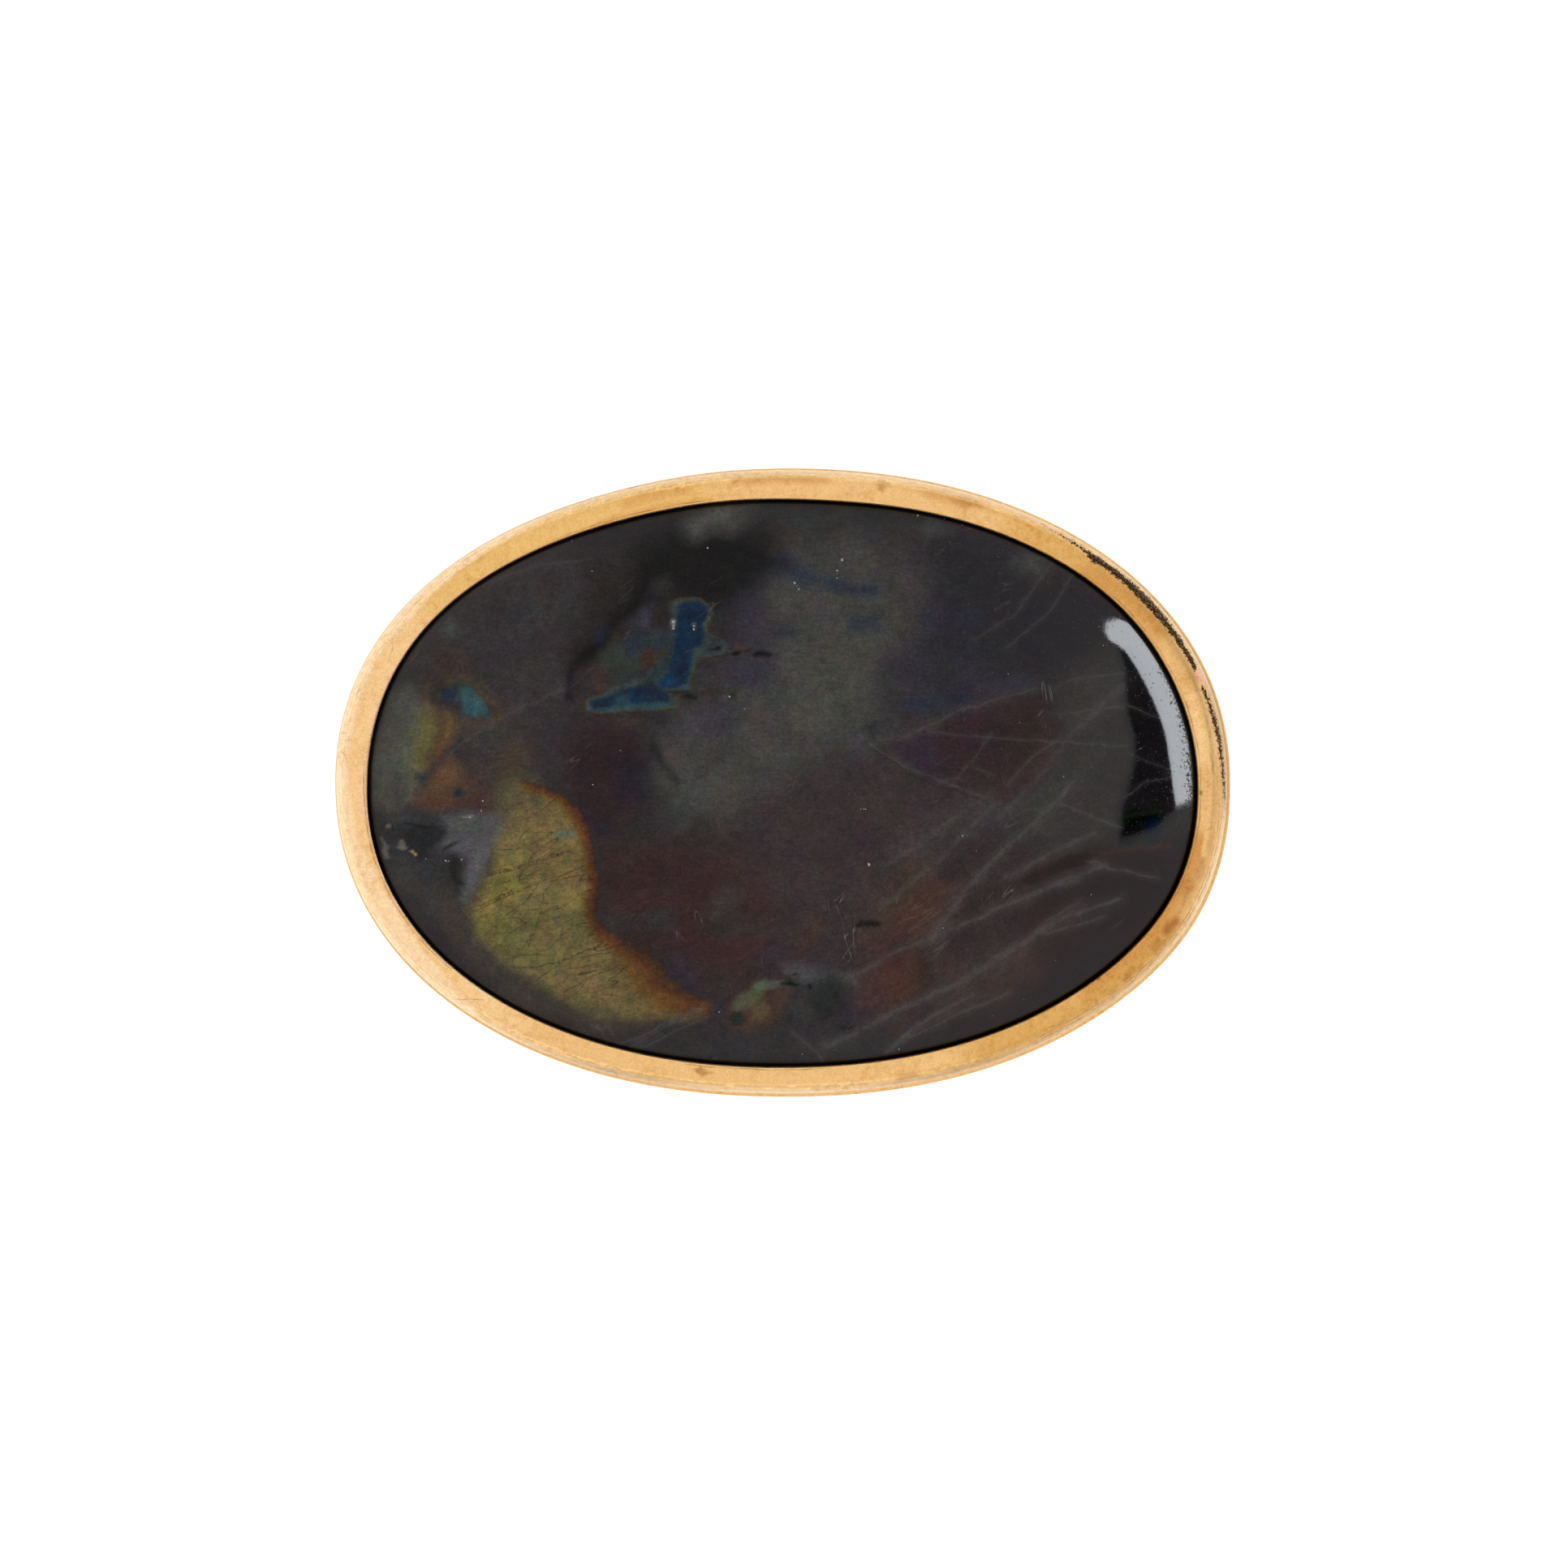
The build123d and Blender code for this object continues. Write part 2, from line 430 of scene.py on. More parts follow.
# The colours as they look from above in this light, each channel from 0 to 255
TONES = {
    "field": (50, 46, 47),
    "slate": (55, 51, 52),
    "pale_slate": (60, 58, 57),
    "shadow": (44, 42, 43),
    "dusk": (41, 37, 36),
    "grey": (67, 65, 63),
    "pale_olive": (70, 69, 63),
    "cool_grey": (50, 51, 52),
    "pale_grey": (96, 98, 94),
    "mist": (78, 80, 78),
    "blue_grey": (50, 53, 57),
    "rim_grey": (52, 50, 51),
    "wedge": (77, 77, 78),
    "charcoal": (36, 36, 37),
    "ink": (31, 30, 30),
    "ink_violet": (34, 30, 36),
    "black": (13, 13, 13),
    "night_red": (47, 34, 37),
    "night_blue": (36, 37, 46),
    "night_violet": (52, 46, 62),
    "dusk_violet": (52, 49, 60),
    "dusk_blue": (34, 41, 58),
    "red_brown": (57, 41, 41),
    "mauve": (60, 51, 52),
    "brown_red": (53, 44, 45),
    "right_field": (56, 53, 52),
    "right_top": (43, 41, 44),
    "navy_grey": (50, 48, 54),
    "dim_blue": (42, 47, 60),
    "lilac": (66, 66, 80),
    "plum_left": (52, 41, 50),
    "plum": (53, 39, 41),
    "plum_right": (52, 42, 39),
    "dim_rust": (70, 49, 43),
    "orange_brown": (71, 52, 44),
    "rust": (84, 52, 38),
    "orange": (106, 70, 42),
    "amber": (106, 64, 33),
    "leaf": (78, 86, 64),
    "straw": (96, 88, 55),
    "olive": (108, 95, 61),
    "gold_olive": (121, 105, 60),
    "moss": (104, 96, 61),
    "tan": (113, 94, 62),
    "sea": (84, 98, 82),
    "steel": (44, 60, 72),
    "blue": (27, 44, 64),
    "deep_blue": (30, 38, 58),
    "vein": (80, 77, 76),
    "pale_flake": (112, 108, 102),
    "gold_fleck": (190, 160, 100),
    "white_dust": (150, 148, 150),
    "soot": (27, 25, 25),
    "field_green": (50, 54, 49),
    "steel_grey": (50, 58, 66),
    "clay": (82, 58, 46),
    "navy": (36, 40, 56),
    "night": (34, 34, 35),
    "pale_wedge": (85, 86, 89),
    "gap_mirror_shade": (49, 48, 49),
    "moss_dark": (40, 42, 38),
    "teal_dark": (36, 44, 48),
    "strip_edge_highlight": (62, 62, 64),
    "bright_blue": (24, 54, 86),
    "bright_teal": (55, 82, 89),
    "fringe_dark": (59, 42, 35),
    "fringe_rust": (83, 52, 35),
    "fringe_tan": (95, 74, 42),
    "fringe_olive": (60, 55, 46),
    "field_brown": (50, 44, 40),
    "field_teal": (43, 50, 56),
    "field_rust": (58, 42, 36),
    "field_olive": (54, 52, 42),
    "field_clay": (64, 51, 45),
    "left_brown": (61, 55, 54),
    "dull_brown": (80, 66, 53),
    "dull_olive": (82, 75, 56),
    "rim_olive": (74, 74, 68),
    "pale_sage": (80, 83, 71),
    "pale_leaf": (89, 89, 63),
    "dim_straw": (88, 74, 48),
    "tan_brown": (91, 73, 50),
    "orange_dim": (94, 70, 52),
    "smoke_grey": (62, 62, 63),
    "hollow": (50, 50, 51),
    "hollow_pale": (59, 58, 56),
    "warm_brown": (64, 51, 47),
    "warm_rust": (67, 49, 45),
    "dusk_green": (46, 48, 46),
    "boot_edge": (58, 67, 66),
    "boot_cyan": (50, 74, 82),
    "wing_grey": (55, 62, 64),
    "fringe_amber": (95, 63, 37),
    "patch_teal": (50, 60, 61),
    "gold_edge": (241, 216, 174),
    "patch_rim": (68, 60, 50),
    "haze_olive": (65, 59, 52),
    "top_shade": (47, 47, 47),
    "brown_warm": (65, 52, 51),
    "dusk_red": (48, 42, 42),
    "cleft": (42, 32, 31),
    "umber": (52, 41, 40),
    "ember_brown": (72, 50, 41),
    "bright_olive": (120, 106, 67),
    "gold_lit_highlight": (253, 203, 136),
    "gold": (236, 190, 127),
    "gold_brassy": (233, 187, 116),
    "gold_pale_highlight": (244, 201, 144),
    "gold_cream_highlight": (251, 216, 172),
    "gold_orange": (219, 168, 94),
    "gold_deep": (206, 146, 76),
    "gold_right": (229, 181, 118),
    "gold_brown": (176, 116, 60),
    "gold_dark": (120, 76, 40),
    "gold_pink": (232, 172, 140),
    "gold_light": (252, 222, 170),
    "gold_night": (46, 34, 24),
}

# How far from the lip's edge the stone is in its shadow and how far out it lies quite open, in mm
LIP_SHADE = (0.08, 0.42)

# How bright a white surface facing up looks in this light, and the share of that which comes from all sides
SURFACE_LIGHT = 1.27
EVEN_SHARE = 0.37

# The least that a painted surface gives back, and the step in mm that the dome's slope is taken over
DARKEST = 0.0015
SLOPE_STEP = 0.01

# The stone's polish: its refractive index, the share that it mirrors head-on here, and what that adds near
# its middle
STONE_INDEX = 1.56
STONE_MIRROR = 0.048
MIDDLE_GLOSS = 0.006

# How bright the gold's polish shows the light overhead on the flat of the rim, and how far to both sides of
# its mirror direction its satin gathers light, in degrees
GOLD_LIGHT = 0.98
SATIN_TURNS = (-16, -8, 0, 8, 16)

# The gold's own light: its height and width in m, and how bright it and the floor look in the polish
LAMP_HEIGHT = 0.9
LAMP_WIDTH = 10.0
LAMP_GLOW = 0.87
FLOOR_GLOW = 1.38

# The room as the polish mirrors it: dim overhead, brighter towards the walls and the two sides, with a haze
# from a pale screen to the right. The spans are parts of a direction, and the haze's are those over its
# height. Low directions count as at least this high, for the haze and for the lamp
OVERHEAD = 0.12
WALLS = 0.14
WALLS_SPAN = (0.55, 0.85)
SIDES = 0.05
SIDES_SPAN = (0.5, 0.8)
HAZE = 0.50
HAZE_RISE = 0.56
HAZE_END = (0.5, 1.3)
LOWEST_HAZE = 0.05
LOWEST_LAMP = 0.02


def dome_normal(x, y):
    """The directions that the dome faces at each place."""
    slope_x = (dome(x + SLOPE_STEP, y) - dome(x - SLOPE_STEP, y)) / (2 * SLOPE_STEP)
    slope_y = (dome(x, y + SLOPE_STEP) - dome(x, y - SLOPE_STEP)) / (2 * SLOPE_STEP)
    normal = np.stack([-slope_x, -slope_y, np.ones(np.shape(x))])
    return normal / np.sqrt(np.sum(normal**2, 0))


def mirrored(x, y):
    """The directions in which the stone's polish mirrors the camera's view at each place."""
    normal = dome_normal(x, y)
    view = np.stack([x - VIEW_CENTRE[0], y - VIEW_CENTRE[1], dome(x, y) - CAMERA_HEIGHT / MM])
    view = view / np.sqrt(np.sum(view**2, 0))
    return view - 2 * np.sum(view * normal, 0) * normal


def room_light(mx, my, mz):
    """How bright the room is in each direction, dim overhead, without the lamps."""
    walls = WALLS * (1 - smooth_step(mz, *WALLS_SPAN))
    sides = SIDES * smooth_step(np.abs(mx), *SIDES_SPAN)
    flat = np.maximum(mz, LOWEST_HAZE)
    haze = HAZE * smooth_step(mx / flat, 0, HAZE_RISE) * (1 - smooth_step(my / flat, *HAZE_END))
    return np.maximum(OVERHEAD + walls + sides, haze)


def gloss(x, y):
    """How much of the room shows in the stone's polish at each place, seen from above."""
    mx, my, mz = mirrored(x, y)
    glancing = (1 - np.sqrt((1 + mz) / 2)) ** 5
    return room_light(mx, my, mz) * (STONE_MIRROR + (1 - STONE_MIRROR) * glancing)


def gold_gloss(normals):
    """How bright what the gold mirrors from above is for each normal, against that on the rim's flat."""
    tilt = np.arccos(np.clip(normals[2], -1, 1))
    aside = normals[:2] / np.maximum(np.hypot(normals[0], normals[1]), TINY)
    total = 0.0
    for turn in np.radians(SATIN_TURNS):
        slope = 2 * tilt + turn
        mx, my = aside * np.sin(slope)
        mz = np.cos(slope)
        over = LAMP_HEIGHT * np.maximum(np.abs(mx), np.abs(my)) / np.maximum(mz, LOWEST_LAMP)
        above = LAMP_GLOW * (over < LAMP_WIDTH / 2) + room_light(mx, my, mz)
        total = total + np.where(mz > 0, above, FLOOR_GLOW)
    return total / len(SATIN_TURNS) / (LAMP_GLOW + OVERHEAD)


def tone(name):
    """A named colour in linear light."""
    value = np.array(TONES[name]) / 255
    return np.where(value > 0.04045, ((value + 0.055) / 1.055) ** 2.4, value / 12.92)


def base_of(name):
    """A tone as the stone's own colour near its middle, less what the room adds in the polish."""
    return (*np.maximum(tone(name) - MIDDLE_GLOSS, DARKEST) / SURFACE_LIGHT, 1.0)


# In the tables below, widths and places are in the photograph's pixels if no comment says otherwise

# Broad areas of the stone from the lowest layer up: tone, width of the soft edge, strength, outline
AREAS = (
    ("slate", 60, 1, [(470, 900), (466, 800), (525, 700), (640, 650), (760, 620), (860, 610),
     (850, 660), (790, 700), (740, 745), (704, 800), (699, 850), (698, 985), (660, 940), (620, 890),
     (560, 830), (520, 850)]),
    ("shadow", 45, 0.7, [(700, 640), (780, 610), (860, 610), (850, 660), (810, 700), (760, 700),
     (700, 690)]),
    ("dusk", 40, 0.8, [(720, 700), (780, 680), (820, 690), (800, 730), (760, 780), (725, 830),
     (706, 880), (702, 820)]),
    ("pale_slate", 30, 0.5, [(500, 800), (540, 740), (600, 700), (640, 690), (600, 730), (560, 770),
     (530, 820)]),
    ("grey", 90, 1, [(930, 690), (1050, 660), (1130, 700), (1120, 780), (1080, 850), (1090, 920),
     (1000, 960), (900, 1010), (830, 1000), (815, 930), (850, 880), (880, 860), (940, 800)]),
    ("pale_olive", 40, 0.6, [(985, 770), (1060, 760), (1090, 790), (1060, 850), (1040, 890), (980, 900),
     (985, 830)]),
    ("grey", 50, 0.6, [(815, 910), (870, 895), (900, 940), (880, 1000), (850, 1010), (825, 960)]),
    ("night_red", 50, 0.9, [(697, 900), (760, 890), (800, 930), (790, 990), (760, 1040), (735, 1030),
     (700, 975)]),
    ("night_blue", 25, 0.6, [(750, 945), (800, 940), (800, 985), (760, 985)]),
    ("red_brown", 60, 1, [(745, 1040), (850, 1045), (920, 1040), (960, 1080), (980, 1180), (900, 1210),
     (850, 1200), (790, 1170), (740, 1150), (742, 1090)]),
    ("mauve", 90, 0.9, [(900, 1020), (1000, 960), (1090, 935), (1150, 965), (1210, 990), (1190, 1040),
     (1120, 1090), (1060, 1160), (990, 1190), (950, 1100)]),
    ("brown_red", 60, 0.9, [(1060, 1180), (1120, 1090), (1200, 1040), (1300, 1050), (1400, 1060),
     (1400, 1120), (1310, 1190), (1200, 1230), (1110, 1260), (1060, 1240)]),
    ("right_field", 70, 1, [(1290, 840), (1390, 780), (1480, 900), (1480, 1020), (1400, 1050),
     (1280, 1050), (1230, 1000), (1300, 930)]),
    ("right_top", 80, 0.9, [(1130, 640), (1260, 690), (1380, 780), (1300, 830), (1220, 850),
     (1150, 830), (1160, 740)]),
    ("navy_grey", 50, 0.8, [(1095, 800), (1140, 780), (1210, 800), (1230, 840), (1190, 860),
     (1110, 878), (1085, 850)]),
    ("dim_blue", 12, 0.7, [(1112, 862), (1150, 862), (1205, 850), (1190, 866), (1150, 872),
     (1115, 878)]),
    ("dim_blue", 30, 0.8, [(935, 690), (975, 685), (1020, 705), (1040, 715), (990, 722), (945, 708)]),
    ("dim_blue", 14, 0.8, [(1018, 718), (1050, 722), (1085, 724), (1083, 737), (1040, 735),
     (1020, 728)]),
    ("dim_blue", 25, 0.6, [(1045, 755), (1085, 750), (1085, 778), (1050, 778)]),
    ("dim_blue", 25, 0.5, [(940, 765), (975, 762), (978, 785), (945, 788)]),
    ("dim_blue", 22, 0.5, [(1130, 748), (1200, 755), (1200, 775), (1135, 770)]),
    ("dusk_violet", 40, 0.7, [(905, 700), (935, 700), (940, 760), (935, 800), (905, 790), (905, 750)]),
    ("dusk_violet", 30, 0.7, [(895, 815), (950, 815), (958, 835), (930, 848), (890, 840)]),
    ("dusk_violet", 30, 0.6, [(850, 880), (900, 870), (930, 890), (900, 910), (860, 905)]),
    ("soot", 26, 0.95, [(700, 832), (714, 806), (734, 788), (756, 758), (780, 730), (800, 704),
     (826, 700), (812, 716), (796, 734), (774, 762), (752, 792), (728, 822)]),
    ("soot", 8, 0.7, [(716, 812), (728, 800), (744, 788), (748, 792), (736, 804), (722, 818)]),
    ("slate", 20, 0.7, [(856, 828), (880, 822), (896, 836), (892, 852), (864, 848)]),
    ("ink", 56, 1, [(780, 712), (796, 676), (830, 652), (880, 648), (930, 650), (962, 664), (966, 700),
     (940, 728), (905, 750), (862, 752), (826, 738), (800, 732)]),
    ("pale_olive", 24, 0.35, [(804, 728), (808, 716), (820, 712), (828, 722), (820, 732)]),
    ("lilac", 20, 0.7, [(782, 770), (792, 752), (806, 746), (808, 762), (800, 774), (790, 778)]),
    ("dusk", 14, 0.8, [(802, 752), (824, 748), (834, 760), (828, 772), (806, 770)]),
    ("field_brown", 14, 0.8, [(750, 800), (758, 780), (770, 776), (774, 790), (764, 806)]),
    ("navy", 14, 0.6, [(732, 782), (748, 770), (754, 782), (746, 794), (734, 794)]),
    ("field_green", 20, 0.95, [(740, 804), (758, 790), (788, 796), (798, 812), (790, 840), (766, 852),
     (750, 844), (738, 824)]),
    ("field_teal", 14, 0.9, [(770, 796), (788, 780), (814, 778), (838, 782), (840, 800), (812, 802),
     (796, 800), (786, 812), (774, 812)]),
    ("field_teal", 16, 0.95, [(800, 830), (818, 822), (838, 800), (842, 830), (828, 848), (800, 852),
     (760, 852), (770, 838)]),
    ("field_rust", 10, 0.9, [(789, 806), (800, 800), (810, 804), (811, 818), (806, 826), (794, 823)]),
    ("field_olive", 9, 0.7, [(810, 806), (822, 800), (824, 812), (814, 822), (808, 818)]),
    ("field_clay", 14, 0.8, [(730, 824), (742, 826), (748, 842), (752, 856), (738, 854)]),
    ("field_clay", 16, 0.4, [(756, 884), (800, 884), (800, 898), (760, 898)]),
    ("ink_violet", 8, 0.9, [(700, 862), (699, 838), (706, 822), (712, 824), (708, 842), (710, 864),
     (704, 872)]),
    ("pale_grey", 40, 0.6, [(848, 652), (872, 632), (902, 621), (926, 624), (930, 640), (908, 652),
     (880, 656), (862, 668)]),
    ("mist", 30, 0.5, [(980, 640), (1010, 625), (1030, 635), (1000, 650)]),
    ("mist", 26, 0.35, [(1130, 650), (1160, 640), (1180, 665), (1150, 672)]),
    ("mist", 28, 0.4, [(1244, 700), (1262, 680), (1290, 690), (1284, 708), (1258, 712)]),
    ("mist", 24, 0.7, [(545, 775), (556, 760), (568, 772), (562, 786)]),
    ("field_clay", 16, 0.35, [(550, 820), (570, 800), (582, 815), (580, 850), (560, 850), (545, 840)]),
    ("cool_grey", 22, 0.7, [(748, 1130), (830, 1124), (836, 1148), (760, 1152)]),
    ("mist", 30, 0.3, [(872, 1106), (900, 1096), (920, 1110), (908, 1132), (880, 1132)]),
    ("cool_grey", 26, 0.5, [(860, 1140), (920, 1136), (960, 1150), (900, 1160), (866, 1156)]),
    ("orange_brown", 40, 0.8, [(1090, 1094), (1180, 1092), (1185, 1120), (1150, 1150), (1100, 1168),
     (1062, 1160), (1080, 1120)]),
    ("dim_rust", 44, 0.8, [(1056, 1200), (1085, 1178), (1120, 1180), (1125, 1210), (1100, 1240),
     (1066, 1236)]),
    ("night_violet", 24, 0.35, [(928, 1180), (950, 1160), (975, 1168), (965, 1192), (940, 1200)]),
    ("night_violet", 26, 0.4, [(822, 1180), (850, 1172), (862, 1200), (850, 1222), (830, 1205)]),
    ("night_violet", 26, 0.4, [(1042, 1222), (1070, 1214), (1088, 1240), (1076, 1258), (1044, 1252)]),
    ("wedge", 16, 0.6, [(962, 1186), (990, 1186), (1020, 1196), (1052, 1202), (1060, 1214),
     (1030, 1212), (998, 1212), (970, 1200)]),
    ("charcoal", 24, 0.8, [(1006, 1216), (1030, 1206), (1050, 1222), (1042, 1248), (1014, 1254),
     (996, 1236)]),
    ("cool_grey", 22, 0.7, [(962, 1228), (1000, 1230), (1012, 1254), (980, 1262), (962, 1254)]),
    ("orange_brown", 14, 0.7, [(896, 1246), (906, 1228), (932, 1206), (960, 1206), (978, 1222),
     (968, 1248), (950, 1268), (920, 1276), (900, 1266)]),
    ("leaf", 10, 0.75, [(904, 1240), (912, 1228), (926, 1220), (936, 1212), (944, 1206), (950, 1210),
     (944, 1222), (934, 1236), (922, 1244), (910, 1246)]),
    ("straw", 12, 0.45, [(928, 1240), (944, 1232), (952, 1244), (944, 1258), (930, 1256)]),
    ("sea", 4, 0.5, [(930, 1211), (948, 1207), (968, 1210), (982, 1212), (966, 1217), (944, 1219),
     (932, 1219)]),
    ("moss_dark", 5, 0.95, [(899, 1254), (906, 1246), (916, 1247), (921, 1255), (916, 1264),
     (904, 1264)]),
    ("rim_grey", 30, 0.7, [(800, 1290), (880, 1268), (960, 1270), (1040, 1280), (1100, 1285),
     (1080, 1300), (960, 1312), (860, 1308)]),
    ("plum_left", 18, 0.8, [(1093, 921), (1140, 900), (1190, 878), (1230, 864), (1230, 975),
     (1190, 972), (1160, 958), (1130, 945), (1108, 932)]),
    ("plum", 26, 0.8, [(1160, 896), (1200, 874), (1240, 862), (1282, 848), (1286, 870), (1303, 886),
     (1303, 905), (1297, 930), (1280, 958), (1262, 970), (1236, 982), (1215, 986), (1190, 972),
     (1150, 950)]),
    ("plum_right", 24, 0.6, [(1240, 880), (1296, 885), (1300, 920), (1280, 945), (1240, 940)]),
    ("dusk_violet", 16, 0.7, [(1205, 850), (1240, 835), (1275, 832), (1288, 846), (1240, 856)]),
    # A pale grey line along the lip's edge beside the strip: a painted highlight that carries the strip's
    # reflection on where the lip's shade takes off the polish
    ("strip_edge_highlight", 6, 0.6, [(1436, 830), (1446, 855), (1455, 885), (1462, 920), (1466, 955), (1468, 985),
     (1473, 985), (1472, 940), (1467, 900), (1458, 868), (1446, 838)]),
    ("left_brown", 30, 0.8, [(566, 890), (600, 868), (645, 866), (640, 900), (612, 950), (606, 1000),
     (566, 1000)]),
    ("dull_brown", 36, 0.65, [(604, 1000), (612, 950), (620, 922), (640, 910), (652, 926), (654, 950),
     (650, 985), (640, 1000)]),
    ("dull_olive", 36, 0.8, [(606, 1010), (614, 968), (640, 955), (664, 972), (670, 1010)]),
    ("rim_olive", 36, 1, [(484, 860), (470, 900), (462, 950), (466, 990), (492, 1000), (502, 940),
     (510, 880), (510, 850)]),
    ("pale_sage", 22, 0.95, [(512, 866), (502, 895), (494, 930), (495, 965), (499, 992), (516, 990),
     (520, 950), (520, 905), (524, 872)]),
    ("pale_leaf", 20, 0.95, [(528, 874), (516, 892), (509, 912), (509, 950), (513, 968), (523, 950),
     (531, 925), (535, 895), (535, 880)]),
    ("straw", 17, 0.85, [(530, 872), (522, 896), (517, 925), (518, 946), (527, 944), (535, 920),
     (541, 892), (538, 874)]),
    ("dim_straw", 12, 0.9, [(541, 880), (539, 898), (533, 922), (527, 946), (532, 948), (540, 925),
     (545, 898), (545, 882)]),
    ("tan_brown", 20, 0.95, [(546, 878), (545, 896), (538, 925), (532, 944), (545, 938), (558, 918),
     (566, 896), (560, 882)]),
    ("orange_dim", 26, 0.85, [(526, 966), (538, 946), (554, 938), (564, 948), (572, 972), (574, 994),
     (556, 998), (530, 998), (512, 992), (514, 980)]),
    ("orange", 18, 0.35, [(536, 964), (546, 950), (556, 948), (556, 966), (542, 974)]),
    ("dim_rust", 22, 0.6, [(505, 998), (520, 982), (560, 972), (590, 955), (606, 972), (600, 1000),
     (560, 1006), (520, 1004)]),
    ("blue_grey", 6, 0.3, [(512, 974), (516, 964), (530, 952), (546, 936), (560, 922), (562, 928),
     (548, 944), (532, 960), (520, 974)]),
    ("steel_grey", 7, 0.7, [(562, 974), (570, 971), (577, 978), (573, 985), (564, 984)]),
    ("smoke_grey", 26, 0.5, [(576, 914), (588, 900), (612, 902), (620, 922), (600, 934), (582, 930)]),
    ("hollow", 22, 0.9, [(474, 1006), (500, 1000), (540, 1004), (566, 1010), (556, 1030), (548, 1056),
     (556, 1090), (570, 1118), (556, 1118), (530, 1090), (505, 1068), (478, 1042)]),
    ("night", 9, 0.65, [(498, 1024), (520, 1018), (545, 1022), (560, 1018), (550, 1034), (556, 1044),
     (536, 1046), (524, 1062), (506, 1050), (500, 1038)]),
    ("hollow_pale", 10, 0.8, [(476, 1006), (500, 1004), (520, 1010), (508, 1016), (484, 1014)]),
    ("hollow_pale", 8, 0.7, [(530, 1046), (548, 1042), (552, 1052), (546, 1064), (534, 1058)]),
    ("wedge", 16, 0.9, [(548, 1006), (580, 1000), (612, 1003), (628, 1010), (622, 1030), (610, 1052),
     (602, 1078), (590, 1102), (578, 1118), (568, 1110), (574, 1088), (580, 1064), (566, 1050),
     (548, 1044), (556, 1028)]),
    ("pale_wedge", 16, 0.7, [(578, 1052), (600, 1040), (604, 1056), (592, 1080), (584, 1094),
     (578, 1080)]),
    ("pale_wedge", 9, 0.5, [(540, 1042), (560, 1036), (584, 1040), (580, 1048), (556, 1050)]),
    ("night", 7, 0.85, [(556, 1064), (563, 1058), (570, 1066), (568, 1082), (574, 1092), (564, 1090),
     (557, 1080)]),
    ("hollow", 8, 0.6, [(572, 1058), (578, 1056), (578, 1070), (572, 1078)]),
    # The stone is painted darker here, where the dark gap is mirrored on the right: painted shade that adds
    # to that reflection
    ("gap_mirror_shade", 10, 1, [(1370, 786), (1381, 828), (1383, 880), (1392, 915), (1390, 950), (1383, 975),
     (1376, 992), (1374, 1040), (1400, 1040), (1440, 1022), (1458, 1000), (1462, 940), (1450, 880),
     (1430, 835), (1396, 790)]),
    ("moss_dark", 10, 0.6, [(1384, 1002), (1400, 997), (1430, 1004), (1420, 1013), (1395, 1018),
     (1384, 1014)]),
    ("teal_dark", 12, 0.5, [(1412, 1000), (1432, 1008), (1428, 1040), (1412, 1045), (1405, 1020)]),
    ("black", 8, 0.5, [(1380, 1020), (1400, 1018), (1410, 1030), (1392, 1042), (1380, 1040)]),
    ("warm_brown", 30, 0.8, [(1101, 1128), (1112, 1100), (1150, 1086), (1184, 1090), (1180, 1112),
     (1150, 1138), (1118, 1146)]),
    ("warm_rust", 36, 0.75, [(1062, 1236), (1070, 1200), (1090, 1180), (1130, 1178), (1138, 1200),
     (1120, 1236), (1090, 1250)]),
    ("warm_rust", 20, 0.7, [(982, 1160), (996, 1142), (1016, 1136), (1018, 1156), (1000, 1176),
     (984, 1176)]),
    ("warm_rust", 14, 0.5, [(1096, 1272), (1106, 1256), (1122, 1250), (1126, 1264), (1110, 1276)]),
    ("dusk_green", 16, 0.7, [(1002, 1206), (1024, 1198), (1046, 1208), (1048, 1232), (1030, 1248),
     (1008, 1244)]),
    ("hollow_pale", 30, 0.9, [(478, 1052), (500, 1060), (530, 1078), (556, 1100), (566, 1126),
     (545, 1136), (505, 1104)]),
    ("left_brown", 20, 0.9, [(520, 1090), (545, 1092), (566, 1124), (600, 1168), (590, 1178),
     (555, 1144)]),
    ("dusk_blue", 12, 0.6, [(786, 846), (800, 832), (816, 828), (824, 838), (818, 852), (796, 856)]),
    ("field_clay", 18, 0.5, [(522, 846), (545, 808), (560, 800), (584, 812), (584, 838), (560, 838),
     (544, 836), (534, 850), (528, 866)]),
    ("dull_brown", 16, 0.5, [(522, 848), (532, 848), (540, 868), (540, 890), (526, 890), (518, 870)]),
    ("patch_rim", 12, 0.8, [(556, 836), (580, 830), (598, 840), (614, 862), (626, 884), (612, 896),
     (580, 897), (560, 886), (566, 870), (556, 862)]),
    ("dusk_blue", 6, 0.6, [(514, 952), (524, 952), (528, 960), (522, 966), (514, 962)]),
    ("haze_olive", 30, 0.85, [(556, 1112), (580, 1150), (620, 1195), (680, 1230), (740, 1250),
     (800, 1262), (800, 1274), (720, 1264), (650, 1242), (590, 1198), (550, 1140)]),
    ("top_shade", 26, 0.7, [(890, 622), (960, 614), (1060, 614), (1180, 628), (1170, 646), (1060, 650),
     (960, 648), (900, 644)]),
    ("brown_warm", 50, 0.8, [(1150, 1180), (1200, 1160), (1270, 1160), (1290, 1200), (1240, 1240),
     (1170, 1250)]),
    ("dusk_red", 50, 0.8, [(1290, 1050), (1350, 1040), (1410, 1060), (1400, 1120), (1340, 1150),
     (1280, 1130)]),
)

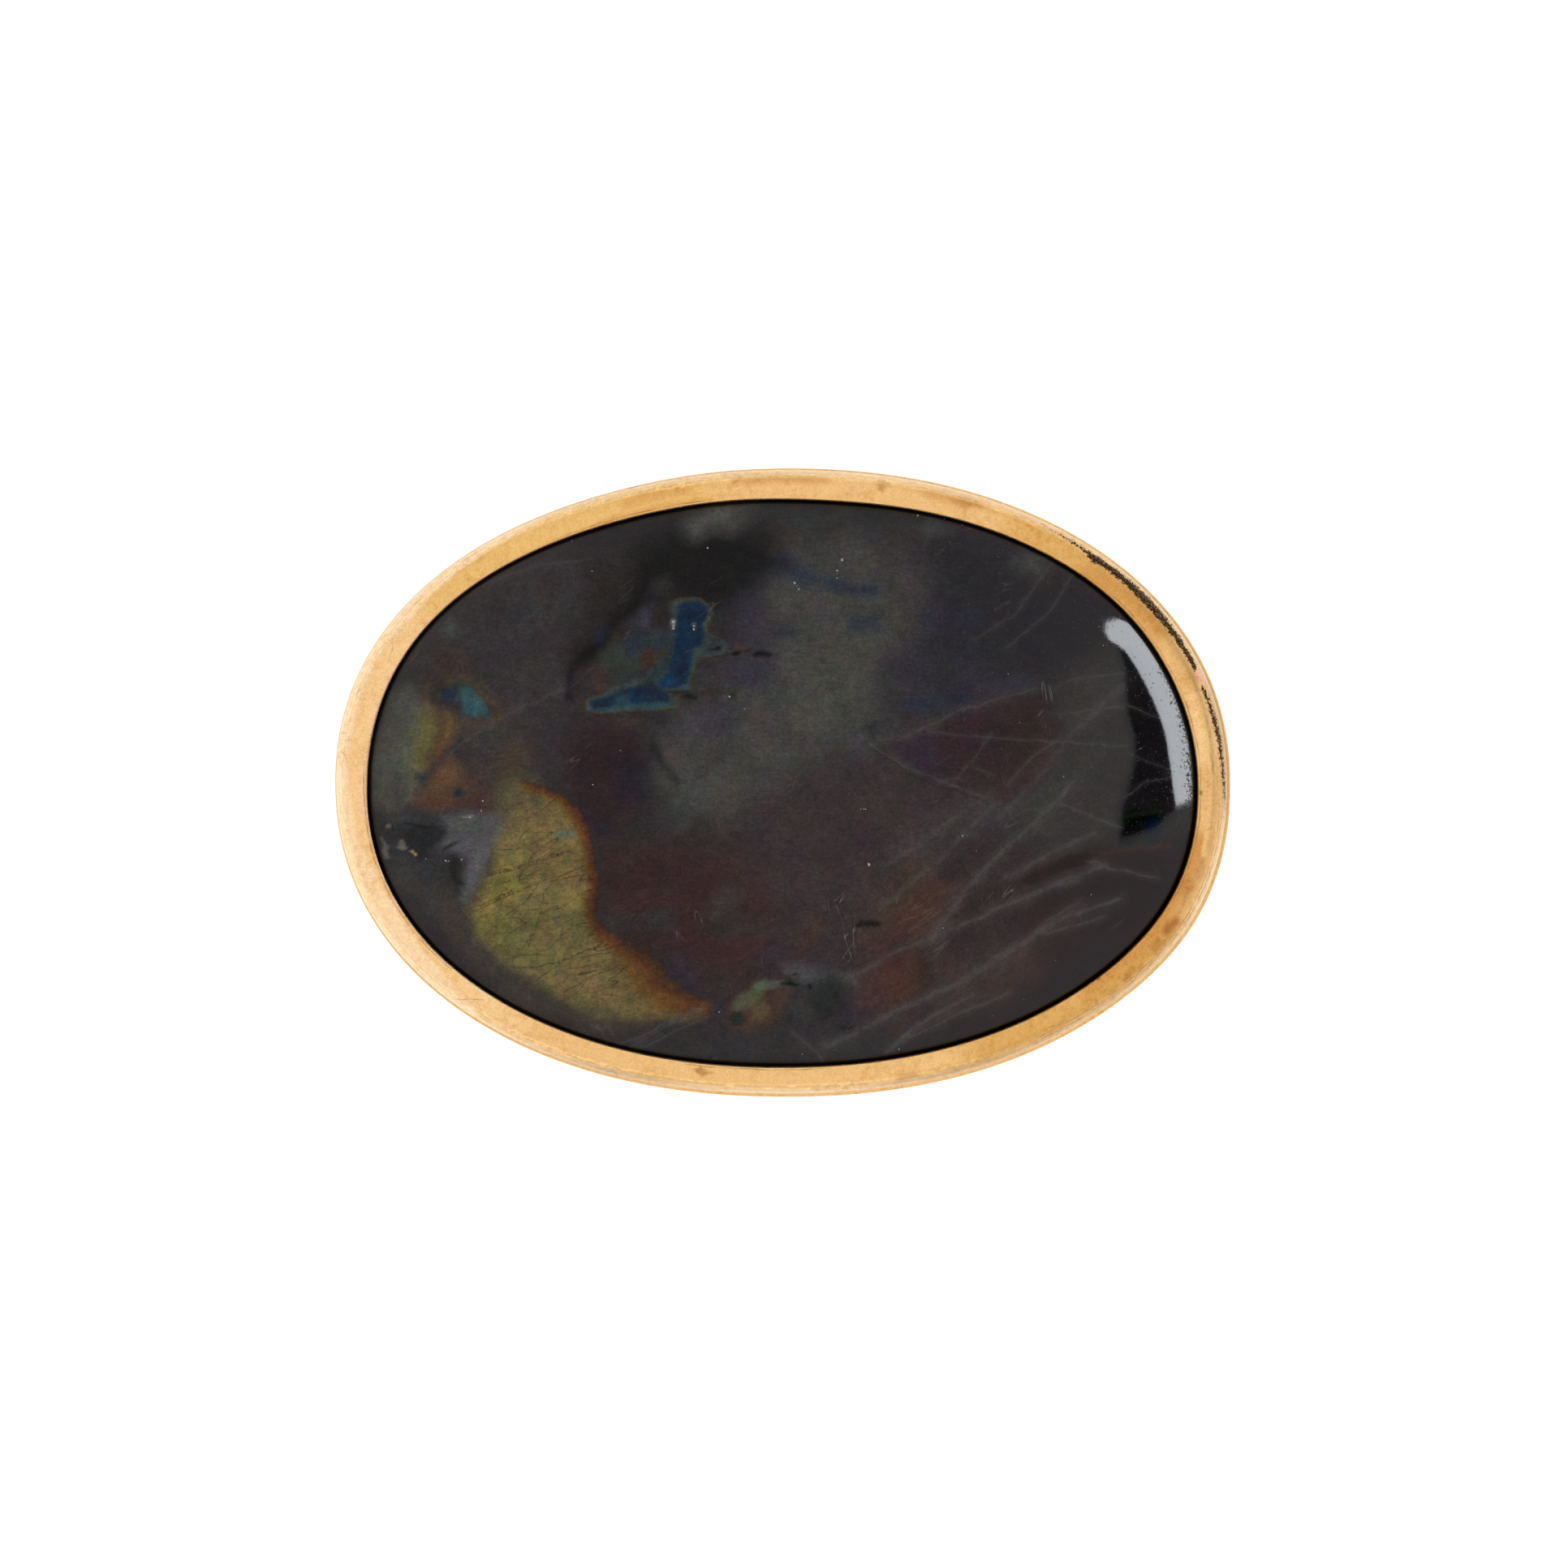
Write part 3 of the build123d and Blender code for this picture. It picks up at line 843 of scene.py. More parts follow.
# The colours inside the flashes, over their olive ground: tone, soft edge, strength, outline
GLOWS = (
    ("moss", 40, 0.8, [(640, 1100), (700, 1110), (735, 1130), (700, 1180), (650, 1200), (620, 1180)]),
    ("bright_olive", 40, 0.8, [(625, 1040), (700, 1030), (735, 1070), (730, 1120), (690, 1130),
     (640, 1110), (612, 1080)]),
    ("patch_teal", 8, 1, [(536, 830), (620, 830), (620, 900), (536, 900)]),
    ("gold_olive", 30, 0.8, [(585, 1100), (640, 1060), (650, 1090), (620, 1140), (600, 1160),
     (580, 1130)]),
    ("tan", 40, 0.7, [(640, 960), (700, 970), (735, 1060), (720, 1100), (660, 1080), (640, 1010)]),
    ("moss", 26, 0.5, [(600, 960), (630, 940), (650, 970), (650, 1010), (615, 1030), (600, 1000)]),
    ("tan", 30, 0.6, [(700, 1180), (760, 1170), (800, 1210), (790, 1240), (720, 1230)]),
    ("amber", 24, 0.95, [(752, 1158), (800, 1170), (850, 1210), (880, 1240), (860, 1252), (812, 1242),
     (790, 1226), (772, 1196)]),
    ("rust", 16, 0.6, [(775, 1160), (815, 1185), (840, 1212), (820, 1215), (790, 1185)]),
    ("sea", 6, 0.7, [(682, 1030), (690, 1024), (722, 1022), (730, 1028), (712, 1034), (688, 1036)]),
    ("moss", 8, 0.6, [(688, 1056), (700, 1046), (712, 1046), (706, 1060)]),
    ("bright_teal", 7, 0.9, [(572, 848), (584, 850), (598, 864), (604, 880), (586, 884), (574, 876),
     (570, 862)]),
    ("moss", 16, 0.5, [(604, 1130), (622, 1112), (650, 1120), (640, 1150), (616, 1160)]),
    ("gold_olive", 14, 0.6, [(612, 1092), (640, 1082), (656, 1096), (640, 1112), (616, 1112)]),
    ("dull_olive", 40, 0.9, [(590, 930), (680, 930), (676, 985), (650, 1005), (610, 1020),
     (590, 1020)]),
    ("boot_edge", 12, 1, [(700, 720), (950, 720), (950, 900), (700, 900)]),
    ("blue", 7, 1, [(836, 750), (846, 743), (862, 742), (872, 748), (876, 758), (869, 768), (868, 776),
     (872, 786), (868, 796), (858, 802), (854, 822), (850, 842), (838, 848), (820, 850), (816, 840),
     (826, 828), (830, 806), (832, 786), (836, 768)]),
    ("blue", 7, 1, [(729, 864), (752, 860), (766, 852), (790, 847), (812, 850), (826, 857), (828, 866),
     (822, 873), (800, 873), (770, 874), (732, 876)]),
    ("deep_blue", 9, 0.9, [(850, 752), (864, 750), (866, 762), (858, 770), (848, 764)]),
    ("deep_blue", 9, 0.8, [(840, 806), (850, 804), (848, 824), (842, 838), (832, 838), (836, 822)]),
    ("bright_blue", 9, 0.9, [(812, 842), (820, 834), (830, 830), (834, 842), (826, 848), (814, 848)]),
    ("bright_blue", 8, 0.7, [(778, 872), (784, 858), (794, 858), (796, 866), (790, 873)]),
    ("dusk_blue", 8, 0.9, [(734, 874), (736, 864), (752, 862), (756, 868), (750, 874)]),
    ("dusk_blue", 10, 0.8, [(784, 858), (790, 846), (806, 840), (818, 850), (820, 862), (806, 866),
     (792, 864)]),
    ("steel", 8, 0.9, [(758, 862), (770, 854), (780, 858), (778, 870), (764, 872)]),
    ("wing_grey", 9, 0.9, [(872, 784), (888, 786), (908, 796), (900, 802), (878, 804), (868, 796)]),
    ("boot_cyan", 3, 0.8, [(740, 873), (782, 869), (826, 867), (828, 872), (800, 875), (740, 877)]),
    ("boot_cyan", 3.5, 0.8, [(838, 848), (852, 843), (856, 850), (842, 853)]),
    ("dusk_blue", 8, 0.7, [(544, 862), (550, 846), (562, 840), (568, 850), (562, 868), (550, 870)]),
    ("dull_olive", 30, 0.85, [(576, 1128), (600, 1162), (640, 1197), (700, 1230), (760, 1246),
     (700, 1256), (600, 1215), (556, 1150)]),
    ("field_teal", 6, 0.8, [(818, 758), (832, 758), (832, 800), (826, 826), (812, 838), (800, 840),
     (812, 812)]),
)

# The flashes: width of the coloured fringe, outline with its sharp side, width of the soft edge, outline of
# where the flash shows at all, and 1 where the fringe is cool
FLASHES = (
    (8.5, [(540, 900), (610, 925), (630, 938), (645, 956), (656, 964), (668, 969), (684, 974),
     (698, 981), (709, 991), (719, 1004), (727, 1020), (733, 1036), (736, 1060), (740, 1080),
     (742, 1094), (738, 1108), (736, 1122), (740, 1136), (750, 1147), (766, 1155), (784, 1164),
     (802, 1176), (816, 1189), (828, 1204), (844, 1216), (860, 1226), (884, 1234), (900, 1300),
     (540, 1300)], 26, [(672, 954), (646, 968), (628, 994), (624, 1014), (614, 1036), (606, 1058),
     (603, 1080), (592, 1105), (578, 1128), (586, 1150), (604, 1172), (630, 1194), (664, 1214),
     (704, 1234), (745, 1247), (795, 1256), (850, 1256), (874, 1250), (880, 1234), (850, 1150),
     (830, 1000), (740, 940), (668, 940)], 0),
    (1.2, [(722, 866), (725, 861), (740, 857), (752, 850), (770, 838), (800, 826), (812, 812),
     (820, 790), (820, 762), (816, 746), (832, 741), (845, 738), (855, 737), (866, 739), (873, 745),
     (879, 751), (882, 759), (879, 767), (874, 774), (875, 781), (883, 785), (895, 790), (910, 796),
     (925, 800), (908, 805), (890, 808), (872, 812), (863, 816), (859, 824), (856, 836), (854, 844),
     (856, 852), (842, 856), (826, 855), (831, 859), (838, 862), (840, 868), (838, 874), (826, 877),
     (808, 878), (785, 879), (760, 880), (740, 881), (724, 878)], 12, [(828, 726), (830, 756),
     (830, 788), (824, 808), (806, 826), (788, 838), (768, 846), (748, 852), (714, 850), (710, 890),
     (860, 896), (880, 850), (880, 826), (894, 822), (900, 808), (896, 776), (895, 740), (860, 724)],
     1),
    (2.6, [(538, 858), (546, 846), (555, 842), (562, 836), (572, 839), (582, 838), (590, 845),
     (594, 853), (602, 858), (608, 868), (614, 878), (620, 888), (606, 893), (594, 891), (582, 893),
     (572, 888), (562, 883), (564, 874), (556, 871), (546, 871)], 14, [(543, 860), (548, 850),
     (555, 847), (560, 840), (569, 843), (578, 841), (586, 848), (589, 855), (596, 859), (601, 868),
     (606, 875), (613, 884), (604, 888), (594, 886), (584, 889), (577, 884), (567, 881), (570, 873),
     (560, 867), (552, 867)], 1),
)

# Where a flash's fringe is wider or narrower than its row says: place, reach, added share
FRINGES = (
    (770, 1160, 26, 0.4),
    (830, 1210, 60, 1.6),
    (664, 966, 20, -0.4),
    (700, 985, 18, -0.25),
    (905, 800, 30, -0.3),
    (800, 880, 60, -0.2),
)

# Small marks laid over the areas and the flashes: tone, soft edge, strength, outline
OVERLAYS = (
    ("black", 3, 0.85, [(904, 806), (908, 803), (914, 804), (916, 807), (908, 810), (904, 809)]),
    ("black", 2.5, 0.8, [(917, 802), (925, 801), (926, 804), (918, 805)]),
    ("black", 4, 0.8, [(927, 808), (932, 803), (940, 803), (948, 805), (955, 807), (950, 812),
     (940, 810), (930, 811)]),
    ("black", 4, 0.75, [(842, 860), (850, 857), (862, 858), (862, 863), (852, 863), (843, 862)]),
    ("black", 4, 0.6, [(820, 853), (838, 853), (856, 856), (838, 857), (822, 856)]),
    ("black", 3, 0.8, [(878, 802), (886, 800), (888, 797), (891, 800), (887, 803)]),
    ("charcoal", 8, 0.6, [(898, 854), (908, 852), (911, 860), (902, 862)]),
    ("black", 5, 0.75, [(1054, 1140), (1062, 1135), (1080, 1134), (1088, 1138), (1082, 1143),
     (1060, 1143)]),
    ("black", 2.5, 0.9, [(960, 1213), (970, 1211), (976, 1208), (982, 1212), (989, 1215), (976, 1215),
     (964, 1215)]),
    ("black", 2.5, 0.8, [(995, 1213), (1000, 1212), (1002, 1217), (998, 1222)]),
    ("black", 2.5, 0.8, [(978, 1200), (984, 1199), (984, 1202), (980, 1203)]),
    ("black", 5, 0.75, [(1032, 1263), (1046, 1265), (1064, 1266), (1066, 1269), (1050, 1271),
     (1040, 1268)]),
    ("night_blue", 12, 0.7, [(735, 1012), (752, 1014), (758, 1026), (748, 1034), (736, 1028)]),
    ("charcoal", 8, 0.8, [(562, 974), (572, 974), (574, 982), (564, 984)]),
    ("charcoal", 10, 0.6, [(562, 872), (572, 864), (576, 876), (568, 880)]),
    ("charcoal", 14, 0.75, [(804, 912), (814, 920), (826, 944), (842, 966), (836, 970), (818, 948),
     (802, 926)]),
    ("charcoal", 12, 0.6, [(1066, 896), (1080, 892), (1086, 906), (1080, 914), (1072, 906)]),
    ("mist", 6, 0.5, [(684, 1128), (694, 1130), (694, 1142), (686, 1140)]),
    ("clay", 6, 0.4, [(905, 797), (925, 799), (922, 804), (906, 804)]),
    ("black", 2, 0.8, [(884, 798), (890, 797), (890, 801), (885, 802)]),
    ("black", 2, 0.7, [(876, 800), (882, 800), (881, 803), (877, 803)]),
    ("black", 3, 0.7, [(548, 1046), (560, 1040), (572, 1038), (562, 1044), (550, 1049)]),
    ("black", 3, 0.6, [(500, 1014), (530, 1018), (555, 1018), (530, 1021), (500, 1017)]),
    ("white_dust", 2, 0.5, [(830, 766), (832, 763), (834, 768), (833, 777), (831, 779), (830, 772)]),
    ("white_dust", 2, 0.3, [(855, 770), (858, 770), (858, 777), (856, 778)]),
    ("pale_flake", 2.5, 0.6, [(478, 1017), (484, 1016), (484, 1021), (479, 1021)]),
    ("pale_flake", 3, 0.5, [(470, 1030), (475, 1034), (480, 1042), (484, 1044), (480, 1050),
     (484, 1058), (478, 1060), (474, 1050), (476, 1042)]),
    ("pale_flake", 3, 0.55, [(491, 1046), (496, 1036), (500, 1034), (505, 1044), (500, 1048)]),
    ("gold_fleck", 1.5, 0.6, [(508, 1049), (511, 1047), (513, 1050), (517, 1050), (516, 1054),
     (513, 1053), (511, 1050)]),
    ("white_dust", 2, 0.35, [(572, 1006), (588, 1005), (589, 1007), (574, 1008)]),
    ("boot_edge", 2.5, 0.8, [(578, 867), (588, 866), (588, 869), (580, 870)]),
    ("mist", 8, 0.5, [(870, 640), (896, 626), (920, 628), (905, 638), (880, 648)]),
    ("mist", 6, 0.5, [(852, 650), (868, 644), (880, 640), (866, 652)]),
    ("field_rust", 5, 0.5, [(866, 853), (880, 852), (898, 852), (896, 857), (880, 859), (866, 859)]),
    ("orange_brown", 4, 0.5, [(1356, 1050), (1400, 1045), (1444, 1040), (1444, 1044), (1400, 1049),
     (1356, 1054)]),
    ("dim_blue", 8, 0.5, [(1414, 1012), (1428, 1010), (1432, 1030), (1418, 1036)]),
    ("field_green", 5, 0.5, [(1384, 1004), (1400, 1000), (1436, 998), (1432, 1004), (1404, 1006),
     (1386, 1009)]),
    ("cleft", 6, 0.85, [(1258, 1084), (1280, 1070), (1310, 1056), (1340, 1050), (1352, 1056),
     (1336, 1066), (1306, 1074), (1284, 1086), (1266, 1092)]),
    ("umber", 14, 0.7, [(1178, 1132), (1190, 1110), (1206, 1092), (1232, 1082), (1250, 1092),
     (1244, 1112), (1220, 1128), (1196, 1142)]),
    ("umber", 14, 0.7, [(1262, 1130), (1280, 1114), (1316, 1108), (1334, 1120), (1322, 1144),
     (1292, 1160), (1266, 1156)]),
    ("dusk_red", 18, 0.6, [(1345, 1116), (1360, 1072), (1400, 1050), (1436, 1050), (1440, 1096),
     (1424, 1124), (1390, 1140), (1350, 1146)]),
    ("ember_brown", 24, 0.6, [(1096, 1090), (1120, 1062), (1150, 1070), (1164, 1100), (1140, 1130),
     (1110, 1140)]),
    ("ember_brown", 20, 0.5, [(1094, 1190), (1120, 1170), (1142, 1196), (1130, 1230), (1104, 1240)]),
)

# Pale veins: strength, width in mm, route. Each has a soft glow round it that fills a share and is wider by
# a factor
VEINS = (
    (0.55, 0.21, [(1020, 1290), (1100, 1250), (1180, 1214), (1250, 1170), (1320, 1128), (1380, 1108)]),
    (0.6, 0.07, [(1020, 1290), (1096, 1249), (1176, 1213), (1240, 1172), (1300, 1136)]),
    (0.55, 0.14, [(1092, 1296), (1132, 1264), (1164, 1246), (1200, 1226)]),
    (0.6, 0.06, [(1096, 1296), (1130, 1266), (1158, 1246)]),
    (0.45, 0.12, [(1112, 1284), (1172, 1254), (1244, 1224)]),
    (0.55, 0.11, [(1052, 1204), (1104, 1174), (1148, 1156)]),
    (0.55, 0.24, [(1148, 1160), (1172, 1122), (1212, 1072), (1272, 1018), (1322, 966)]),
    (0.5, 0.08, [(1150, 1160), (1176, 1120), (1206, 1080), (1250, 1036)]),
    (0.55, 0.21, [(1160, 1151), (1216, 1127), (1288, 1094), (1362, 1067)]),
    (0.55, 0.08, [(1190, 1140), (1250, 1112), (1290, 1096), (1330, 1084)]),
    (0.5, 0.24, [(1242, 1082), (1292, 1054), (1348, 1028)]),
    (0.5, 0.07, [(1304, 990), (1352, 1009), (1382, 1021)]),
    (0.45, 0.12, [(1344, 1062), (1374, 1072), (1426, 1082)]),
    (0.4, 0.12, [(1262, 1166), (1290, 1136), (1330, 1112)]),
    (0.4, 0.12, [(1290, 1152), (1362, 1130)]),
    (0.45, 0.32, [(1088, 1118), (1160, 1058), (1222, 996)]),
    (0.4, 0.28, [(1096, 1066), (1160, 1021), (1216, 984)]),
    (0.5, 0.06, [(1075, 920), (1114, 945), (1160, 963), (1208, 982)]),
    (0.5, 0.14, [(1112, 911), (1190, 875), (1276, 850)]),
    (0.4, 0.07, [(1146, 903), (1240, 912), (1340, 918), (1386, 921)]),
    (0.45, 0.08, [(1306, 912), (1276, 930), (1250, 958), (1242, 968)]),
    (0.35, 0.35, [(1384, 846), (1320, 906), (1262, 980), (1232, 1010)]),
    (0.3, 0.1, [(1300, 850), (1326, 838), (1382, 832)]),
    (0.3, 0.1, [(1308, 882), (1346, 876), (1384, 872)]),
    (0.4, 0.12, [(556, 930), (600, 896), (650, 872), (700, 850)]),
    (0.3, 0.12, [(560, 742), (600, 722), (660, 700), (730, 690)]),
    (0.45, 0.07, [(780, 1290), (812, 1272), (866, 1244)]),
    (0.4, 0.06, [(1160, 962), (1180, 960), (1200, 940), (1222, 905)]),
    (0.4, 0.06, [(1202, 948), (1226, 957)]),
    (0.4, 0.08, [(978, 1272), (1006, 1296), (1014, 1306)]),
    (0.45, 0.06, [(1390, 870), (1420, 884), (1440, 890)]),
    (0.4, 0.06, [(1392, 930), (1424, 944), (1448, 952)]),
    (0.4, 0.06, [(1384, 985), (1410, 966), (1446, 958)]),
    (0.6, 0.05, [(730, 1262), (741, 1268), (752, 1266), (758, 1275)]),
    (0.55, 0.05, [(757, 1290), (790, 1279), (820, 1262), (850, 1247), (868, 1240)]),
    (0.5, 0.05, [(765, 1300), (800, 1289), (838, 1268), (872, 1255)]),
    (0.5, 0.04, [(738, 1264), (748, 1280), (756, 1296)]),
    (0.4, 0.05, [(1098, 1066), (1110, 1052), (1124, 1046)]),
    (0.4, 0.05, [(1120, 1094), (1136, 1080), (1150, 1076)]),
    (0.35, 0.08, [(1330, 700), (1290, 760), (1240, 800)]),
    (0.3, 0.1, [(1300, 690), (1250, 760), (1200, 790)]),
)
VEIN_GLOW = 0.36
VEIN_SPREAD = 2.2

# Dark cracks: strength, width in mm, route
CRACKS = (
    (0.83, 0.06, [(602, 1080), (640, 1072), (668, 1064), (690, 1056), (706, 1050)]),
    (0.77, 0.05, [(584, 1126), (618, 1109), (642, 1099), (668, 1084)]),
    (0.72, 0.05, [(600, 1152), (626, 1130), (650, 1113), (664, 1096)]),
    (0.66, 0.05, [(648, 1168), (660, 1150), (667, 1130)]),
    (0.83, 0.071, [(636, 1193), (664, 1192), (690, 1186), (712, 1176), (740, 1164)]),
    (0.66, 0.05, [(698, 1224), (720, 1208), (742, 1200), (768, 1190)]),
    (0.66, 0.05, [(642, 1025), (664, 1027), (684, 1027)]),
    (0.61, 0.04, [(600, 1098), (640, 1080), (672, 1058), (690, 1042)]),
    (0.55, 0.04, [(612, 1160), (640, 1140), (652, 1126)]),
    (0.55, 0.04, [(560, 1108), (572, 1124), (582, 1140)]),
    (0.77, 0.071, [(1078, 924), (1100, 938), (1122, 955), (1150, 968), (1180, 977), (1212, 988),
     (1240, 984)]),
    (0.55, 0.05, [(1072, 922), (1066, 906), (1070, 890)]),
    (0.66, 0.05, [(1074, 902), (1080, 914)]),
    (0.39, 0.05, [(735, 866), (790, 884), (800, 910)]),
    (0.85, 0.05, [(590, 1078), (612, 1074), (640, 1070), (660, 1062), (684, 1054), (704, 1050)]),
    (0.66, 0.05, [(606, 1096), (624, 1088), (648, 1080), (676, 1078)]),
    (0.77, 0.05, [(636, 1130), (648, 1116), (656, 1104), (664, 1090), (672, 1082)]),
    (0.77, 0.06, [(580, 1122), (600, 1114), (620, 1104), (640, 1098), (664, 1090), (700, 1082),
     (722, 1078)]),
    (0.66, 0.05, [(620, 1048), (640, 1046), (660, 1040), (680, 1030), (700, 1020)]),
    (0.66, 0.05, [(654, 1168), (664, 1148), (668, 1134)]),
    (0.66, 0.05, [(628, 1000), (640, 992), (656, 988)]),
    (0.55, 0.05, [(660, 1006), (676, 1012), (690, 1014)]),
    (0.77, 0.06, [(664, 1208), (690, 1190), (704, 1182), (722, 1172), (750, 1166)]),
    (0.66, 0.05, [(710, 1224), (726, 1206), (740, 1200), (758, 1196), (764, 1190)]),
    (0.55, 0.05, [(784, 1226), (796, 1218), (800, 1206)]),
    (0.55, 0.05, [(690, 1150), (704, 1140), (730, 1144)]),
    (0.55, 0.04, [(600, 1140), (616, 1128), (622, 1112)]),
    (0.66, 0.05, [(676, 1170), (690, 1158), (700, 1150)]),
)

# How far beyond its width a line fades out, in mm
LINE_FADE = 0.2

# Specks of dust: place and radius
SPECKS = (
    (901, 860, 1.2), (732, 706, 0.9), (707, 668, 0.8), (1039, 692, 1.8), (1033, 705, 1.1),
    (1033, 714, 0.9), (981, 720, 1.6), (986, 728, 1.2), (874, 677, 1.2), (1132, 637, 1.3),
    (1165, 641, 0.8), (1187, 649, 0.7), (1072, 1066, 2.0), (1187, 1031, 1.2), (1204, 1049, 0.7),
    (1243, 832, 0.7), (1360, 797, 0.8), (1257, 892, 0.6), (1068, 998, 0.7), (888, 1247, 0.9),
    (1345, 1103, 0.7), (1163, 1144, 0.8), (767, 926, 0.6), (733, 968, 0.9), (919, 875, 0.7),
    (1311, 958, 0.6), (582, 1008, 1.0), (1109, 1293, 0.8), (990, 1299, 0.7), (1062, 998, 0.6),
    (556, 1062, 0.7), (528, 1059, 0.7), (832, 768, 1.6), (832, 776, 1.4), (857, 773, 1.1),
    (857, 778, 1.0), (598, 988, 1.3), (596, 1000, 1.0), (552, 1061, 1.3), (572, 1060, 1.0),
)

# Patches of fine scratches: place and reach across and up
RUBBED = (
    (1044, 1161, 15, 22), (1097, 1101, 18, 20), (1037, 1117, 13, 11), (1234, 1101, 22, 13),
    (850, 1139, 18, 13), (1291, 868, 11, 26),
)

# Where the stone's grain runs up to the right, the angle that it has there, and how softly it turns, in mm
SLANTED = [
    (960, 1330), (1010, 1180), (1130, 1060), (1300, 960), (1480, 900), (1500, 1150), (1300, 1330),
]
SLANT = 0.62
SLANTED_EDGE = 2.0

# How the paint's edges waver: how far and how large, in mm, and the seed, for broad areas, for small ones
# and for the gold's. The noise that moves them up and down has its seed this much further on. An area is
# broad if its soft edge is wider than this
LOOSE = (0.6, 2.2, 3)
TIGHT = (0.10, 0.8, 7)
GOLD_TIGHT = (0.08, 0.4, 21)
SECOND_SEED = 50
BROAD = 18

# How far inside the first flash its fine cracks are all there, how far the grit reaches from the strip's
# edge, both in mm, and at which of the edge's places it starts
CRAZED_DEPTH = 1.5
PITTED_REACH = 0.42
PITTED_FROM = 4

# Where the window's strip and the dark gap beside it show on the stone, along their two sides
STRIP_INNER = (
    (1362, 779), (1367, 790), (1386, 802), (1403, 828), (1416, 853), (1428, 880), (1436, 905),
    (1441, 935), (1445, 965), (1449, 994),
)
STRIP_OUTER = (
    (1364, 769), (1377, 764), (1399, 773), (1419, 798), (1436, 827), (1450, 857), (1459, 887),
    (1465, 920), (1468, 955), (1470, 986),
)
GAP_INNER = (
    (1376, 795), (1386, 818), (1387, 850), (1390, 880), (1399, 912), (1398, 945), (1391, 972),
    (1384, 992), (1382, 1012), (1381, 1034),
)
GAP_OUTER = (
    (1390, 795), (1405, 818), (1422, 850), (1434, 880), (1442, 912), (1447, 945), (1451, 972),
    (1453, 995), (1441, 1004), (1424, 1020),
)


def put_attribute(mesh, name, kind, values):
    """Stores one value for each point of the mesh."""
    layer = mesh.attributes.new(name=name, type=kind, domain="POINT")
    key = {"FLOAT": "value", "FLOAT_VECTOR": "vector", "FLOAT_COLOR": "color"}[kind]
    layer.data.foreach_set(key, np.ascontiguousarray(values, dtype=np.float32).ravel())


def put_columns(mesh, name, *columns):
    """Stores a vector for each point of the mesh, or a colour where there are four columns."""
    kind = "FLOAT_COLOR" if len(columns) == 4 else "FLOAT_VECTOR"
    put_attribute(mesh, name, kind, np.column_stack(columns))


def put_colour(mesh, name, colour):
    """Stores a solid colour for each point of the mesh."""
    put_columns(mesh, name, *colour.T, np.ones(len(colour)))


def warped(x, y, amount, size, seed):
    """The places moved about a little by noise, so that what is drawn there has a natural edge."""
    moved_x = x + amount * 2 * (layered_noise(x, y, size, seed) - 0.5)
    moved_y = y + amount * 2 * (layered_noise(x, y, size, seed + SECOND_SEED) - 0.5)
    return moved_x, moved_y


def lay(colour, places, soft, strength, points, added):
    """Lays one more colour over the colours inside an outline with a soft edge."""
    half_edge = soft * PIXEL / 2
    share = (inside_share(*places, points, -half_edge, half_edge) * strength)[:, None]
    colour[:] = colour * (1 - share) + added * share


def lay_areas(base, places, table):
    """The colours of the table's areas, laid over the base one after the other."""
    colour = np.tile(tone(base), (len(places(0)[0]), 1))
    for name, soft, strength, points in table:
        lay(colour, places(soft), soft, strength, points, tone(name))
    return colour


def lay_veil(x, y):
    """The small marks as colours that hold their own cover, and the cover."""
    veil = np.zeros((len(x), 4))
    for name, soft, strength, points in OVERLAYS:
        lay(veil, (x, y), soft, strength, points, np.append(tone(name), 1))
    for strength, width, points in VEINS:
        apart, _ = line_distance(x, y, from_photo(points))
        share = (VEIN_GLOW * strength * bell(apart, VEIN_SPREAD * width))[:, None]
        veil = veil * (1 - share) + np.append(tone("vein"), 1) * share
    return veil


def nearest_line(x, y, table):
    """The offset from the nearest line in its widths, signed by its side, and the strength it has there."""
    best = np.full(x.shape, FAR)
    offset = np.full(x.shape, OUTSIDE)
    force = np.zeros(x.shape)
    for strength, width, points in table:
        apart, side = line_distance(x, y, from_photo(points))
        closer = apart < best
        best = np.where(closer, apart, best)
        offset = np.where(closer, side * apart / width, offset)
        force = np.where(closer, strength * bell(apart, width + LINE_FADE), force)
    return offset, force


def nearest_speck(x, y):
    """The offsets from the nearest speck and the distance to it, all in its radii."""
    best = np.full(x.shape, FAR)
    offset = np.zeros((len(x), 3))
    for column, row, radius in SPECKS:
        (px, py), = from_photo([(column, row)])
        apart = np.hypot(x - px, y - py)
        closer = apart < best
        best = np.where(closer, apart, best)
        shown = np.column_stack([x - px, y - py, apart]) / (radius * PIXEL)
        offset = np.where(closer[:, None], shown, offset)
    return offset.T


def lay_flashes(x, y, places):
    """How many fringe widths each place lies inside a flash, how much of that shows, and 1 where cool."""
    widened = 1.0
    for column, row, reach, share in FRINGES:
        widened = widened + share * mark_bell(x, y, column, row, reach * PIXEL)
    laid = np.stack([np.full(x.shape, -OUTSIDE), 0 * x, 0 * x])
    for width, edge, soft, limit, cool in FLASHES:
        half_edge = soft * PIXEL / 2
        depth = inside_distance(*places(0), from_photo(edge)) / (width * PIXEL * widened)
        cover = inside_share(*places(soft), limit, -half_edge, half_edge)
        shown = np.stack([np.clip(depth, -OUTSIDE, OUTSIDE), cover, np.full(x.shape, cool)])
        laid = np.where(depth > laid[0], shown, laid)
    return laid


def points_of(mesh):
    """The mesh's points in mm, as three rows."""
    place = np.empty(len(mesh.vertices) * 3)
    mesh.vertices.foreach_get("co", place)
    return place.reshape(-1, 3).T / MM


